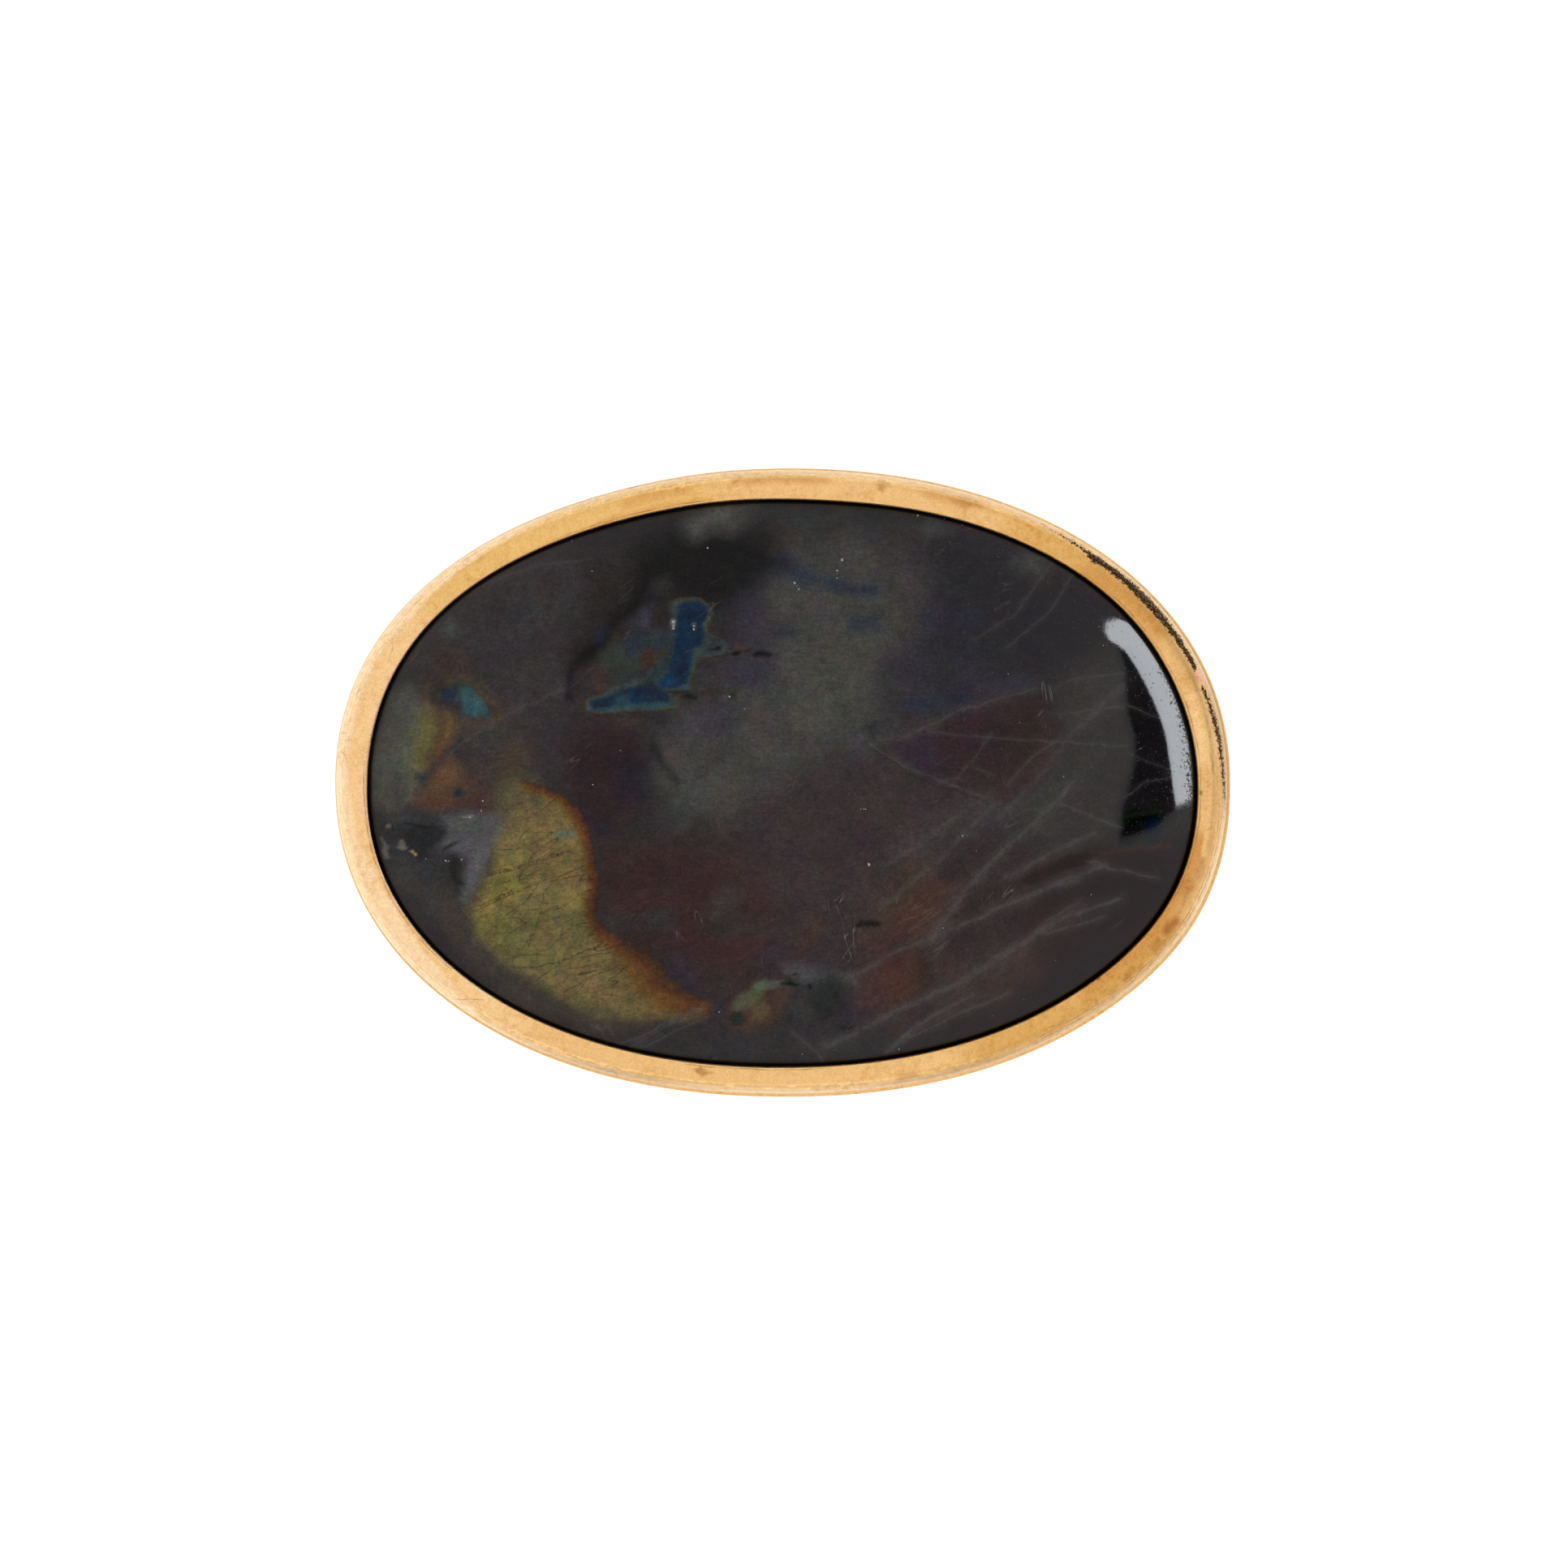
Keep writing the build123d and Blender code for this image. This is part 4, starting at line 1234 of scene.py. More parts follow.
def paint_stone(stone):
    """Lays the stone's colours, flashes, veins and cracks on its points, with some painted shade and
    highlight.
    """
    mesh = stone.data
    x, y, _ = points_of(mesh)
    loose, tight = warped(x, y, *LOOSE), warped(x, y, *TIGHT)

    def places(soft):
        return loose if soft > BROAD else tight

    ground = lay_areas("field", places, AREAS)
    glow = lay_areas("olive", lambda soft: tight, GLOWS)
    veil = lay_veil(*tight)

    # What the room adds in the polish is taken off first, so that the rest adds up to the tone
    share = gloss(x, y)[:, None]
    light = SURFACE_LIGHT * (EVEN_SHARE + (1 - EVEN_SHARE) * dome_normal(x, y)[2])[:, None]
    veil[:, :3] = np.maximum(veil[:, :3] - share * veil[:, 3:], 0) / light
    put_colour(mesh, "ground", np.maximum(ground - share, DARKEST) / light)
    put_colour(mesh, "glow", np.maximum(glow - share, DARKEST) / light)
    put_columns(mesh, "veil", *veil.T)
    put_columns(mesh, "flash", *lay_flashes(x, y, places))
    put_columns(mesh, "speck", *nearest_speck(x, y))
    # How open each place is beside the lip, for the painted shadow under it
    from_lip = stone_reach(np.arctan2(y, x)) - np.hypot(x, y) - (RIM_WIDTH - stone_inset)
    put_attribute(mesh, "open", "FLOAT", smooth_step(from_lip, *LIP_SHADE))

    slanted = inside_share(*loose, SLANTED, -SLANTED_EDGE, SLANTED_EDGE)
    put_columns(mesh, "veins", *nearest_line(*tight, VEINS), slanted)
    put_columns(mesh, "cracks", *nearest_line(*tight, CRACKS), 0 * x)
    crazed = inside_share(*loose, FLASHES[0][3], 0.0, CRAZED_DEPTH)
    rubbed = 0.0
    for column, row, across, up in RUBBED:
        (px, py), = from_photo([(column, row)])
        rubbed = rubbed + bell(x - px, across * PIXEL) * bell(y - py, up * PIXEL)
    edge, _ = line_distance(x, y, from_photo(STRIP_OUTER[PITTED_FROM:]))
    put_columns(mesh, "wear", crazed, np.clip(rubbed, 0, 1), bell(edge, PITTED_REACH))


# The gold's colours from the lowest layer up: tone, soft edge, strength, outline
GOLD_AREAS = (
    ("gold_brassy", 70, 1.0, [(880, 560), (720, 590), (540, 680), (500, 760), (560, 780), (740, 670),
     (880, 640)]),
    # A paler zone round the left: a painted reflection of a bright light on that side
    ("gold_pale_highlight", 60, 1.0, [(490, 740), (400, 850), (390, 1060), (480, 1200), (600, 1310), (660, 1250),
     (560, 1190), (490, 1090), (465, 960), (490, 860), (540, 780)]),
    ("gold_orange", 80, 1.0, [(1200, 1350), (1360, 1290), (1480, 1170), (1440, 1120), (1320, 1220),
     (1190, 1270)]),
    ("gold_orange", 60, 0.8, [(1250, 600), (1380, 670), (1470, 770), (1430, 800), (1330, 730),
     (1230, 680)]),
    ("gold_deep", 26, 0.9, [(1340, 1235), (1430, 1160), (1478, 1080), (1496, 1030), (1470, 1020),
     (1440, 1100), (1400, 1160), (1330, 1215)]),
    ("gold_deep", 20, 0.7, [(1325, 700), (1355, 700), (1400, 735), (1440, 780), (1425, 790),
     (1380, 745), (1330, 715)]),
    ("gold_right", 40, 1.0, [(1440, 800), (1530, 800), (1550, 1000), (1480, 1010), (1460, 900)]),
    # A paler band on the right shoulder: a painted highlight
    ("gold_pale_highlight", 16, 1.0, [(1460, 844), (1478, 844), (1492, 880), (1500, 915), (1502, 944),
     (1476, 944), (1472, 905), (1465, 875)]),
    # A bright line along the right outer edge: a painted highlight
    ("gold_lit_highlight", 5, 0.95, [(1480, 1056), (1488, 1012), (1492, 965), (1487, 919), (1476, 875),
     (1462, 840), (1468, 838), (1483, 872), (1494, 918), (1499, 965), (1495, 1012), (1487, 1057)]),
    ("gold_deep", 14, 0.6, [(1120, 600), (1170, 606), (1210, 618), (1226, 632), (1190, 628),
     (1150, 618)]),
    ("gold_deep", 12, 0.6, [(900, 590), (960, 586), (1020, 588), (1024, 598), (960, 597), (905, 599)]),
    ("gold_deep", 14, 0.5, [(770, 616), (800, 606), (850, 600), (850, 610), (800, 622), (770, 630)]),
    ("gold_deep", 8, 0.5, [(740, 644), (820, 622), (880, 614), (880, 618), (820, 628), (740, 650)]),
    ("gold_deep", 10, 0.6, [(590, 720), (680, 670), (760, 640), (760, 648), (680, 680), (600, 724)]),
    # A cream band along the left outer edge: a painted highlight
    ("gold_cream_highlight", 6, 0.9, [(690, 630), (610, 676), (576, 699), (537, 733), (472, 807), (448, 857),
     (434, 920), (432, 965), (444, 1036), (468, 1084), (503, 1144), (541, 1191), (570, 1225),
     (600, 1258), (640, 1288), (560, 1320), (380, 1150), (360, 900), (460, 700), (660, 600)]),
    # A brighter band inside it: a painted highlight
    ("gold_light", 12, 0.5, [(500, 1090), (560, 1160), (620, 1225), (610, 1240), (550, 1185),
     (490, 1110)]),
    ("gold_brown", 10, 0.75, [(1432, 1148), (1438, 1136), (1450, 1130), (1456, 1138), (1446, 1148),
     (1438, 1156)]),
    ("gold_brown", 8, 0.5, [(1416, 1166), (1428, 1156), (1436, 1164), (1426, 1176)]),
    ("gold_brown", 8, 0.45, [(1380, 1206), (1396, 1190), (1402, 1198), (1388, 1212)]),
    ("gold_brown", 10, 0.4, [(1452, 1100), (1464, 1080), (1472, 1088), (1460, 1112)]),
    ("gold_brown", 10, 0.35, [(1108, 1324), (1130, 1318), (1134, 1326), (1112, 1332)]),
    ("gold_brown", 10, 0.4, [(1172, 620), (1190, 614), (1206, 622), (1190, 630)]),
    ("gold_brown", 5, 0.7, [(857, 1318), (866, 1314), (872, 1319), (880, 1322), (868, 1326),
     (862, 1324)]),
    ("gold_brown", 5, 0.5, [(1082, 594), (1090, 592), (1094, 600), (1090, 610), (1084, 606)]),
    ("gold_dark", 3, 0.8, [(1351, 1203), (1356, 1203), (1357, 1208), (1352, 1208)]),
    ("gold_dark", 3, 0.8, [(1477, 976), (1481, 976), (1481, 980), (1477, 980)]),
    ("gold_dark", 3, 0.7, [(925, 580), (929, 584), (932, 580), (930, 579), (928, 581)]),
    ("gold_dark", 4, 0.8, [(750, 1320), (758, 1318), (764, 1326), (760, 1329), (752, 1326)]),
    ("gold_dark", 4, 0.6, [(1124, 1334), (1136, 1333), (1136, 1337), (1125, 1337)]),
    ("gold_dark", 4, 0.6, [(1188, 1321), (1196, 1319), (1197, 1323), (1190, 1324)]),
    ("gold_pink", 5, 0.9, [(1468, 828), (1476, 824), (1486, 828), (1490, 838), (1484, 844),
     (1474, 842)]),
    ("gold_orange", 10, 0.6, [(1456, 836), (1468, 826), (1474, 842), (1480, 850), (1464, 856)]),
)

# The dark streak along the upper right shoulder and the thin one below it
GOLD_STREAKS = (
    [(1284, 648), (1300, 656), (1320, 667), (1340, 679), (1355, 688), (1378, 704), (1398, 720),
     (1418, 739), (1437, 761), (1457, 790), (1469, 809), (1476, 824), (1472, 831), (1467, 821),
     (1453, 798), (1439, 780), (1422, 759), (1400, 737), (1380, 717), (1360, 702), (1345, 694),
     (1338, 684), (1325, 674), (1310, 664), (1297, 656)],
    [(1482, 844), (1487, 853), (1494, 871), (1500, 889), (1505, 910), (1508, 937), (1510, 960),
     (1511, 985), (1511, 1000), (1508, 985), (1506, 960), (1503, 936), (1499, 910), (1493, 888),
     (1487, 867), (1480, 850)],
)

# Where the gold is painted paler towards its outer edge, a painted reflection of the white floor, in mm
# from it, and how much at most. At some turns round the oval the edge is painted darker, painted shade, and
# lighter where the share is below zero, a painted highlight: the turn and how far it spreads, in degrees,
# and the share
EDGE_PALE = (0.1, 0.55)
EDGE_PALENESS = 0.6
EDGE_SHADES = (
    (240, 14, 0.24),
    (300, 13, 0.28),
    (325, 14, 0.14),
    (5, 9, 0.26),
    (188, 36, -0.16),
)

# How far below the shoulder the paint's marks fade out, in mm
SHOULDER_FADE = 1.0

# Scratches on the gold: strength, width in mm, route
GOLD_LINES = (
    (0.8, 0.05, [(1491, 933), (1495, 943), (1493, 950), (1498, 957)]),
    (0.6, 0.04, [(488, 788), (486, 802), (482, 816)]),
    (0.6, 0.04, [(447, 851), (441, 856), (436, 861)]),
    (0.7, 0.05, [(423, 928), (428, 932), (430, 937)]),
    (0.5, 0.04, [(422, 904), (430, 905)]),
    (0.5, 0.04, [(420, 912), (427, 914)]),
    (0.7, 0.05, [(565, 1231), (598, 1232)]),
    (0.5, 0.05, [(1492, 993), (1500, 990)]),
    (0.5, 0.06, [(1487, 1024), (1494, 1020), (1497, 1026)]),
    (0.5, 0.04, [(1500, 925), (1505, 950), (1506, 985)]),
)

# Where fine lines run along the outer edge, and where one runs along the lip, with half the width of their
# soft edges in mm
LINED_OUTSIDE = [
    (1470, 990), (1540, 990), (1540, 1120), (1440, 1250), (1290, 1320), (1270, 1250), (1390, 1180),
    (1470, 1070),
]
OUTSIDE_EDGE = 0.8
LINED_LIP = (
    [(430, 940), (490, 940), (510, 1080), (580, 1180), (540, 1210), (460, 1130), (430, 1020)],
    [(1320, 680), (1410, 710), (1510, 850), (1510, 1060), (1450, 1140), (1430, 1060), (1450, 960),
     (1430, 850)],
    [(850, 1300), (1020, 1300), (1020, 1330), (850, 1330)],
    [(700, 690), (880, 630), (880, 600), (680, 640)],
)
LIP_EDGE = 0.5


def paint_bezel(bezel):
    """Lays the gold's colours, with their painted highlights, reflections and shade, and its streaks and
    lines on the bezel's points.
    """
    mesh = bezel.data
    x, y, z = points_of(mesh)
    tight = warped(x, y, *GOLD_TIGHT)
    colour = lay_areas("gold", lambda soft: tight, GOLD_AREAS)
    inset = np.empty(len(x))
    mesh.attributes["inset"].data.foreach_get("value", inset)
    # The outer edge is painted paler, a painted reflection of the floor, and darker or lighter at some
    # turns round the oval: painted shade and painted highlight
    outer = (1 - smooth_step(inset, *EDGE_PALE))[:, None]
    angle = np.arctan2(y, x)[:, None]
    shade = sum(share * turn_bell(angle, turn, spread) for turn, spread, share in EDGE_SHADES)
    pale = EDGE_PALENESS * outer * np.clip(1 - 2 * shade, 0, 1)
    colour = (colour * (1 - pale) + tone("gold_edge") * pale) * (1 - shade * outer)

    # The wall below the shoulder is plain, and the lip's inner face and what lies under it are painted
    # dark: painted shade under the lip
    shoulder = smooth_step(z, shoulder_base - SHOULDER_FADE, shoulder_base)
    colour = tone("gold") + (colour - tone("gold")) * shoulder[:, None]
    colour[(inset >= RIM_WIDTH) & (z < lip_top - 2 * LIP_BEVEL)] = tone("gold_night")

    normals = np.empty(len(x) * 3)
    mesh.vertex_normals.foreach_get("vector", normals)
    mirror = GOLD_LIGHT * gold_gloss(normals.reshape(-1, 3).T)
    put_colour(mesh, "gold", colour / mirror[:, None])
    streak = np.max([inside_distance(x, y, from_photo(points)) for points in GOLD_STREAKS], 0)
    outside = inside_share(x, y, LINED_OUTSIDE, -OUTSIDE_EDGE, OUTSIDE_EDGE)
    lip = np.max([inside_share(x, y, points, -LIP_EDGE, LIP_EDGE) for points in LINED_LIP], 0)
    put_columns(mesh, "traces", streak - (1 - shoulder), outside, lip)
    offset, force = nearest_line(x, y, GOLD_LINES)
    put_columns(mesh, "scratches", offset, force * shoulder, 0 * x)


# Materials


class Shader:
    """A small helper that adds nodes to a material and joins them to what they are given."""

    def __init__(self, name):
        self.material = bpy.data.materials.new(name)
        self.material.use_nodes = True
        self.tree = self.material.node_tree
        self.tree.nodes.clear()

    @classmethod
    def on(cls, tree):
        """The same helper on a node tree that is there already."""
        shader = cls.__new__(cls)
        shader.tree = tree
        return shader

    def add(self, kind, inputs=None, **settings):
        """A node with its settings and inputs, where an input is a plain value or another node's output."""
        node = self.tree.nodes.new(kind)
        for key, value in settings.items():
            setattr(node, key, value)
        for key, value in (inputs or {}).items():
            if isinstance(value, bpy.types.NodeSocket):
                self.tree.links.new(value, node.inputs[key])
            else:
                node.inputs[key].default_value = value
        return node

    def attribute(self, name, output="Vector"):
        """What is stored on the mesh's points under a name."""
        return self.add("ShaderNodeAttribute", attribute_name=name).outputs[output]

    def split(self, vector):
        """A vector's three numbers."""
        return self.add("ShaderNodeSeparateXYZ", {0: vector}).outputs

    def math(self, operation, a, b):
        """An operation on two numbers, each a plain value or another node's output."""
        return self.add("ShaderNodeMath", {0: a, 1: b}, operation=operation).outputs[0]

    def plus(self, a, b):
        return self.math("ADD", a, b)

    def minus(self, a, b):
        return self.math("SUBTRACT", a, b)

    def times(self, a, b):
        return self.math("MULTIPLY", a, b)

    def larger(self, a, b):
        return self.math("MAXIMUM", a, b)

    def size(self, value):
        """A number without its sign."""
        return self.math("ABSOLUTE", value, 0.0)

    def scaled(self, vector, factors):
        """A vector or colour with each part multiplied by its own factor."""
        return self.add("ShaderNodeVectorMath", {0: vector, 1: factors}, operation="MULTIPLY").outputs[0]

    def tint(self, colour, factor):
        """A colour made brighter or darker by a factor."""
        return self.add("ShaderNodeVectorMath", {0: colour, "Scale": factor}, operation="SCALE").outputs[0]

    def mix(self, share, a, b):
        """Two colours mixed by a share."""
        return self.add("ShaderNodeMix", {0: share, 6: a, 7: b}, data_type="RGBA").outputs[2]

    def ramp(self, value, stops):
        """Colours by value, from a list of values between 0 and 1 with their colours."""
        node = self.add("ShaderNodeValToRGB", {0: value})
        elements = node.color_ramp.elements
        for k, (at, colour) in enumerate(stops):
            element = elements[k] if k < len(elements) else elements.new(at)
            element.position = at
            element.color = colour
        return node.outputs[0]

    def span(self, value, low, high, to_low=0.0, to_high=1.0):
        """Maps low..high to to_low..to_high, held at the ends."""
        inputs = {"Value": value, "From Min": low, "From Max": high, "To Min": to_low, "To Max": to_high}
        return self.add("ShaderNodeMapRange", inputs, interpolation_type="SMOOTHSTEP").outputs[0]

    def swing(self, noise, low, high):
        """Noise as a number that swings between low and high."""
        return self.span(noise, 0.25, 0.75, low, high)

    def millimetres(self):
        """The place on the piece in mm."""
        return self.scaled(self.add("ShaderNodeTexCoord").outputs["Object"], (1 / MM,) * 3)

    def noise(self, place, size, detail, rough, stretch=(1, 1, 1), turn=0.0):
        """Noise between 0 and 1 with features of about a size in mm, stretched along a direction."""
        if turn:
            inputs = {"Vector": place, "Angle": -turn}
            place = self.add("ShaderNodeVectorRotate", inputs, rotation_type="Z_AXIS").outputs[0]
        moved = self.scaled(place, tuple(s / size for s in stretch))
        inputs = {"Vector": moved, "Scale": 1.0, "Detail": detail, "Roughness": rough}
        return self.add("ShaderNodeTexNoise", inputs).outputs["Fac"]

    def bump(self, height, distance):
        """The surface's direction with a height worked in, where 1 stands for the distance in m."""
        inputs = {"Height": height, "Distance": distance, "Strength": 1.0}
        return self.add("ShaderNodeBump", inputs).outputs[0]

    def finish(self, inputs):
        """Ends the material with a plain surface of these inputs."""
        surface = self.add("ShaderNodeBsdfPrincipled", inputs)
        self.add("ShaderNodeOutputMaterial", {"Surface": surface.outputs[0]})
        return self.material


def scratch_lines(shader, place, turn, size, thin, rare):
    """Sparse fine lines that run one way: a narrow band of stretched noise, broken up by a coarser one."""
    lines = shader.noise(place, size, 1.0, 0.4, (0.06, 1, 1), turn)
    line = shader.span(shader.size(shader.minus(lines, 0.5)), 0.0, thin, 1.0, 0.0)
    gaps = shader.noise(place, size * 3, 1.0, 0.5, (0.5, 1, 1), turn + 0.7)
    return shader.times(line, shader.span(gaps, rare, rare + 0.11))


def drawn_lines(shader, place, shown, name, colour, strength, bend):
    """Draws an attribute's lines as fine broken ones that waver by the bend, in line widths."""
    offset, force, _ = shader.split(shader.attribute(name))
    waver = shader.span(shader.noise(place, 0.9, 3.0, 0.5), 0.2, 0.8, -bend, bend)
    core = shader.times(shader.span(shader.size(shader.plus(offset, waver)), 0.0, 1.0, 1.0, 0.0), force)
    broken = shader.span(shader.noise(place, 0.5, 3.0, 0.7), 0.38, 0.62, 0.4, 1.0)
    return shader.mix(shader.times(shader.times(core, broken), strength), shown, colour)


def thin_line(shader, value, at, width):
    """1 where the value is within a width of the given one, falling to 0 beyond."""
    return shader.span(shader.size(shader.minus(value, at)), 0.3 * width, width, 1.0, 0.0)


def dots(shader, place, scale, reach, chosen, channel=1, waver=0.0):
    """Scattered dots that fade out over a reach. A channel of their random colours chooses those shown."""
    spread = shader.add("ShaderNodeTexVoronoi", {"Vector": place, "Scale": scale}, feature="F1")
    near = shader.span(shader.plus(spread.outputs["Distance"], waver), *reach, 1.0, 0.0)
    chance = shader.add("ShaderNodeSeparateColor", {"Color": spread.outputs["Color"]}).outputs[channel]
    return shader.times(near, shader.span(chance, *chosen))


# How the flashes' colour is duller and brighter in patches, and the fringe's colours by the share of a
# depth in fringe widths
GLOW_DULL = (0.80, 0.84, 0.86)
GLOW_BRIGHT = (1.16, 1.14, 1.05)
FRINGE_DEPTH = 3.0
FRINGE_COLOURS = ((0.0, "fringe_dark"), (0.2, "fringe_rust"), (0.4, "fringe_amber"), (0.62, "fringe_tan"))

# The stone's grain: size in mm, layers of noise, roughness and how far it tints. Its hues: size and how far
STONE_GRAIN = (
    (2.2, 6.0, 0.62, 0.18),
    (0.45, 4.0, 0.70, 0.16),
    (0.15, 2.0, 0.60, 0.20),
)
STONE_HUES = ((2.0, 0.08), (0.8, 0.07))

# The colours of what is drawn on the stone, and how much light the shadow under the lip leaves
CRACK_DARK = (0.012, 0.011, 0.008, 1)
VEIN_PALE = (0.062, 0.057, 0.055, 1)
SCRATCH_PALE = (0.17, 0.16, 0.157, 1)
DUST_PALE = (0.33, 0.32, 0.30, 1)
UNDER_LIP = 0.12

# How high the grit on the stone, the grain of the worn gold and that of the pin stand, in m
GRIT_HEIGHT = 0.0000008
WORN_HEIGHT = 0.000005
SATIN_HEIGHT = 0.000006

# The worn gold: how it browns, its dark lines, the flecks in its streaks, and how far from the outer edge
# its lines run and how wide they are, in mm
BROWNING = (0.80, 0.66, 0.46)
GOLD_BROWN = (0.28, 0.13, 0.045, 1)
GOLD_FLECK = (0.26, 0.14, 0.055, 1)
OUTER_LINES = ((0.24, 0.045), (0.38, 0.04))
LIP_LINE = (1.42, 0.045)

# The pin's gold: clean in two shades, tarnished and in its pits, and how strong the tarnish is
PIN_CLEAN = ((0.90, 0.52, 0.185, 1), (0.98, 0.60, 0.235, 1))
PIN_TARNISH = (0.62, 0.27, 0.075, 1)
PIN_PIT = (0.25, 0.11, 0.04, 1)
PIN_WEAR = 0.3


def stone_flash(shader, place, ground):
    """Lays the flashes over the ground, each with its ragged edge and its coloured fringe."""
    depth, cover, cool = shader.split(shader.attribute("flash"))
    glow = shader.attribute("glow", "Color")
    patches = shader.span(shader.noise(place, 1.1, 5.0, 0.68), 0.32, 0.68)
    glow = shader.mix(patches, shader.scaled(glow, GLOW_DULL), shader.scaled(glow, GLOW_BRIGHT))

    ragged = shader.swing(shader.noise(place, 0.5, 4.0, 0.6), -0.25, 0.25)
    fine = shader.swing(shader.noise(place, 0.12, 2.0, 0.5), -0.15, 0.15)
    depth = shader.plus(depth, shader.plus(ragged, fine))
    stops = [(at, base_of(name)) for at, name in FRINGE_COLOURS]
    warm = shader.ramp(shader.math("DIVIDE", depth, FRINGE_DEPTH), stops)
    fringe = shader.mix(cool, warm, base_of("fringe_olive"))
    inside = shader.mix(shader.span(depth, 1.2, 2.6), fringe, glow)
    return shader.mix(shader.times(shader.span(depth, -0.35, 0.25), cover), ground, inside)


def stone_grain(shader, place, shown):
    """Breaks the painted colours up with clouds, hues and fine streaks that follow the stone's grain."""
    for size, layers, rough, amount in STONE_GRAIN:
        grain = shader.noise(place, size, layers, rough)
        shown = shader.tint(shown, shader.swing(grain, 1 - amount, 1 + amount))
    _, _, slanted = shader.split(shader.attribute("veins"))
    level = shader.noise(place, 0.11, 2.0, 0.5, (0.16, 1, 1))
    slant = shader.noise(place, 0.14, 2.0, 0.5, (0.12, 1, 1), SLANT)
    streaks = shader.add("ShaderNodeMix", {0: slanted, 2: level, 3: slant}).outputs[0]
    shown = shader.tint(shown, shader.swing(streaks, 0.91, 1.09))
    for size, amount in STONE_HUES:
        noise = shader.add("ShaderNodeTexNoise", {"Vector": place, "Scale": 1 / size, "Detail": 3.0})
        inputs = {"Vector": noise.outputs["Color"], 7: (0.3,) * 3, 8: (0.7,) * 3}
        inputs.update({9: (1 - amount,) * 3, 10: (1 + amount,) * 3})
        hue = shader.add("ShaderNodeMapRange", inputs, data_type="FLOAT_VECTOR").outputs["Vector"]
        shown = shader.scaled(shown, hue)
    return shown


def stone_specks(shader, place):
    """How far each place is covered by a speck of dust."""
    x, y, apart = shader.split(shader.attribute("speck"))
    flat = shader.add("ShaderNodeCombineXYZ", {0: x, 1: y, 2: 0.0}).outputs[0]
    length = shader.add("ShaderNodeVectorMath", {0: flat}, operation="LENGTH").outputs["Value"]
    uneven = shader.swing(shader.noise(place, 0.07, 2.0, 0.5), -0.35, 0.35)
    drawn = shader.span(shader.plus(length, uneven), 0.55, 1.1, 1.0, 0.0)
    drawn = shader.times(drawn, shader.span(apart, 3.0, 4.0, 1.0, 0.0))
    stray = dots(shader, place, 1.7, (0.02, 0.05), (0.92, 0.97, 0.0, 0.5), 0, shader.times(uneven, 0.03))
    return shader.larger(drawn, stray)


def stone_lines(shader, place, shown, crazed, rubbed):
    """Draws the veins, cracks and scratches over the stone's colours, and gives the scratches as well."""
    shown = drawn_lines(shader, place, shown, "veins", VEIN_PALE, 0.75, 0.3)
    shown = drawn_lines(shader, place, shown, "cracks", CRACK_DARK, 0.9, 0.8)
    coarse = scratch_lines(shader, place, 0.33, 0.75, 0.018, 0.46)
    fine = scratch_lines(shader, place, 0.62, 0.6, 0.015, 0.48)
    crack = shader.times(shader.larger(coarse, fine), shader.times(crazed, 0.7))
    shown = shader.mix(crack, shown, CRACK_DARK)

    upright = scratch_lines(shader, place, 1.75, 0.35, 0.03, 0.48)
    slanting = scratch_lines(shader, place, 0.9, 0.4, 0.02, 0.52)
    faint = scratch_lines(shader, place, 0.62, 0.8, 0.008, 0.6)
    line = shader.larger(shader.times(shader.larger(upright, slanting), rubbed), shader.times(faint, 0.18))
    return shader.mix(shader.times(line, 0.75), shown, SCRATCH_PALE), line


def stone_material():
    """The painted stone under its polish, with grit on it and a painted shadow beside the lip."""
    shader = Shader("labradorite")
    place = shader.millimetres()
    crazed, rubbed, pitted = shader.split(shader.attribute("wear"))
    shown = stone_flash(shader, place, shader.attribute("ground", "Color"))
    veil = shader.add("ShaderNodeAttribute", attribute_name="veil").outputs
    under = shader.tint(shown, shader.minus(1.0, veil["Alpha"]))
    shown = shader.add("ShaderNodeVectorMath", {0: under, 1: veil["Color"]}, operation="ADD").outputs[0]
    shown = stone_grain(shader, place, shown)
    shown, line = stone_lines(shader, place, shown, crazed, rubbed)
    shown = shader.mix(shader.times(stone_specks(shader, place), 0.8), shown, DUST_PALE)

    # Grit on the polish dims what the stone mirrors, most of all beside the window's strip
    grit = shader.noise(place, 0.16, 3.0, 0.75)
    gritty = shader.span(shader.plus(grit, shader.times(pitted, 0.17)), 0.64, 0.69)
    dull = shader.plus(shader.times(gritty, 0.5), shader.times(line, 0.3))
    dull = shader.plus(dull, shader.span(grit, 0.3, 0.8, 0.04, 0.06))
    # Beside the lip the stone's colour is darkened and its polish taken off: a painted shadow under the lip
    clear = shader.attribute("open", "Fac")
    return shader.finish({
        "Base Color": shader.tint(shown, shader.span(clear, 0.0, 1.0, UNDER_LIP, 1.0)),
        "Roughness": dull,
        "IOR": STONE_INDEX,
        "Specular IOR Level": shader.times(clear, 0.5),
        "Normal": shader.bump(grit, GRIT_HEIGHT),
    })


def gold_lines(shader, place, outside, lip):
    """The fine lines along the outer edge and along the lip, a little broken and wavering."""
    waver = shader.swing(shader.noise(place, 1.2, 2.0, 0.5), -0.03, 0.03)
    edge = shader.plus(shader.attribute("inset", "Fac"), waver)
    broken = shader.span(shader.noise(place, 0.8, 3.0, 0.6), 0.40, 0.60, 0.35, 1.0)
    outer, inner = (thin_line(shader, edge, at, width) for at, width in OUTER_LINES)
    lines = shader.times(shader.larger(outer, inner), shader.times(outside, 0.5))
    ring = shader.times(thin_line(shader, edge, *LIP_LINE), shader.times(lip, 0.7))
    return shader.times(shader.larger(lines, ring), broken)


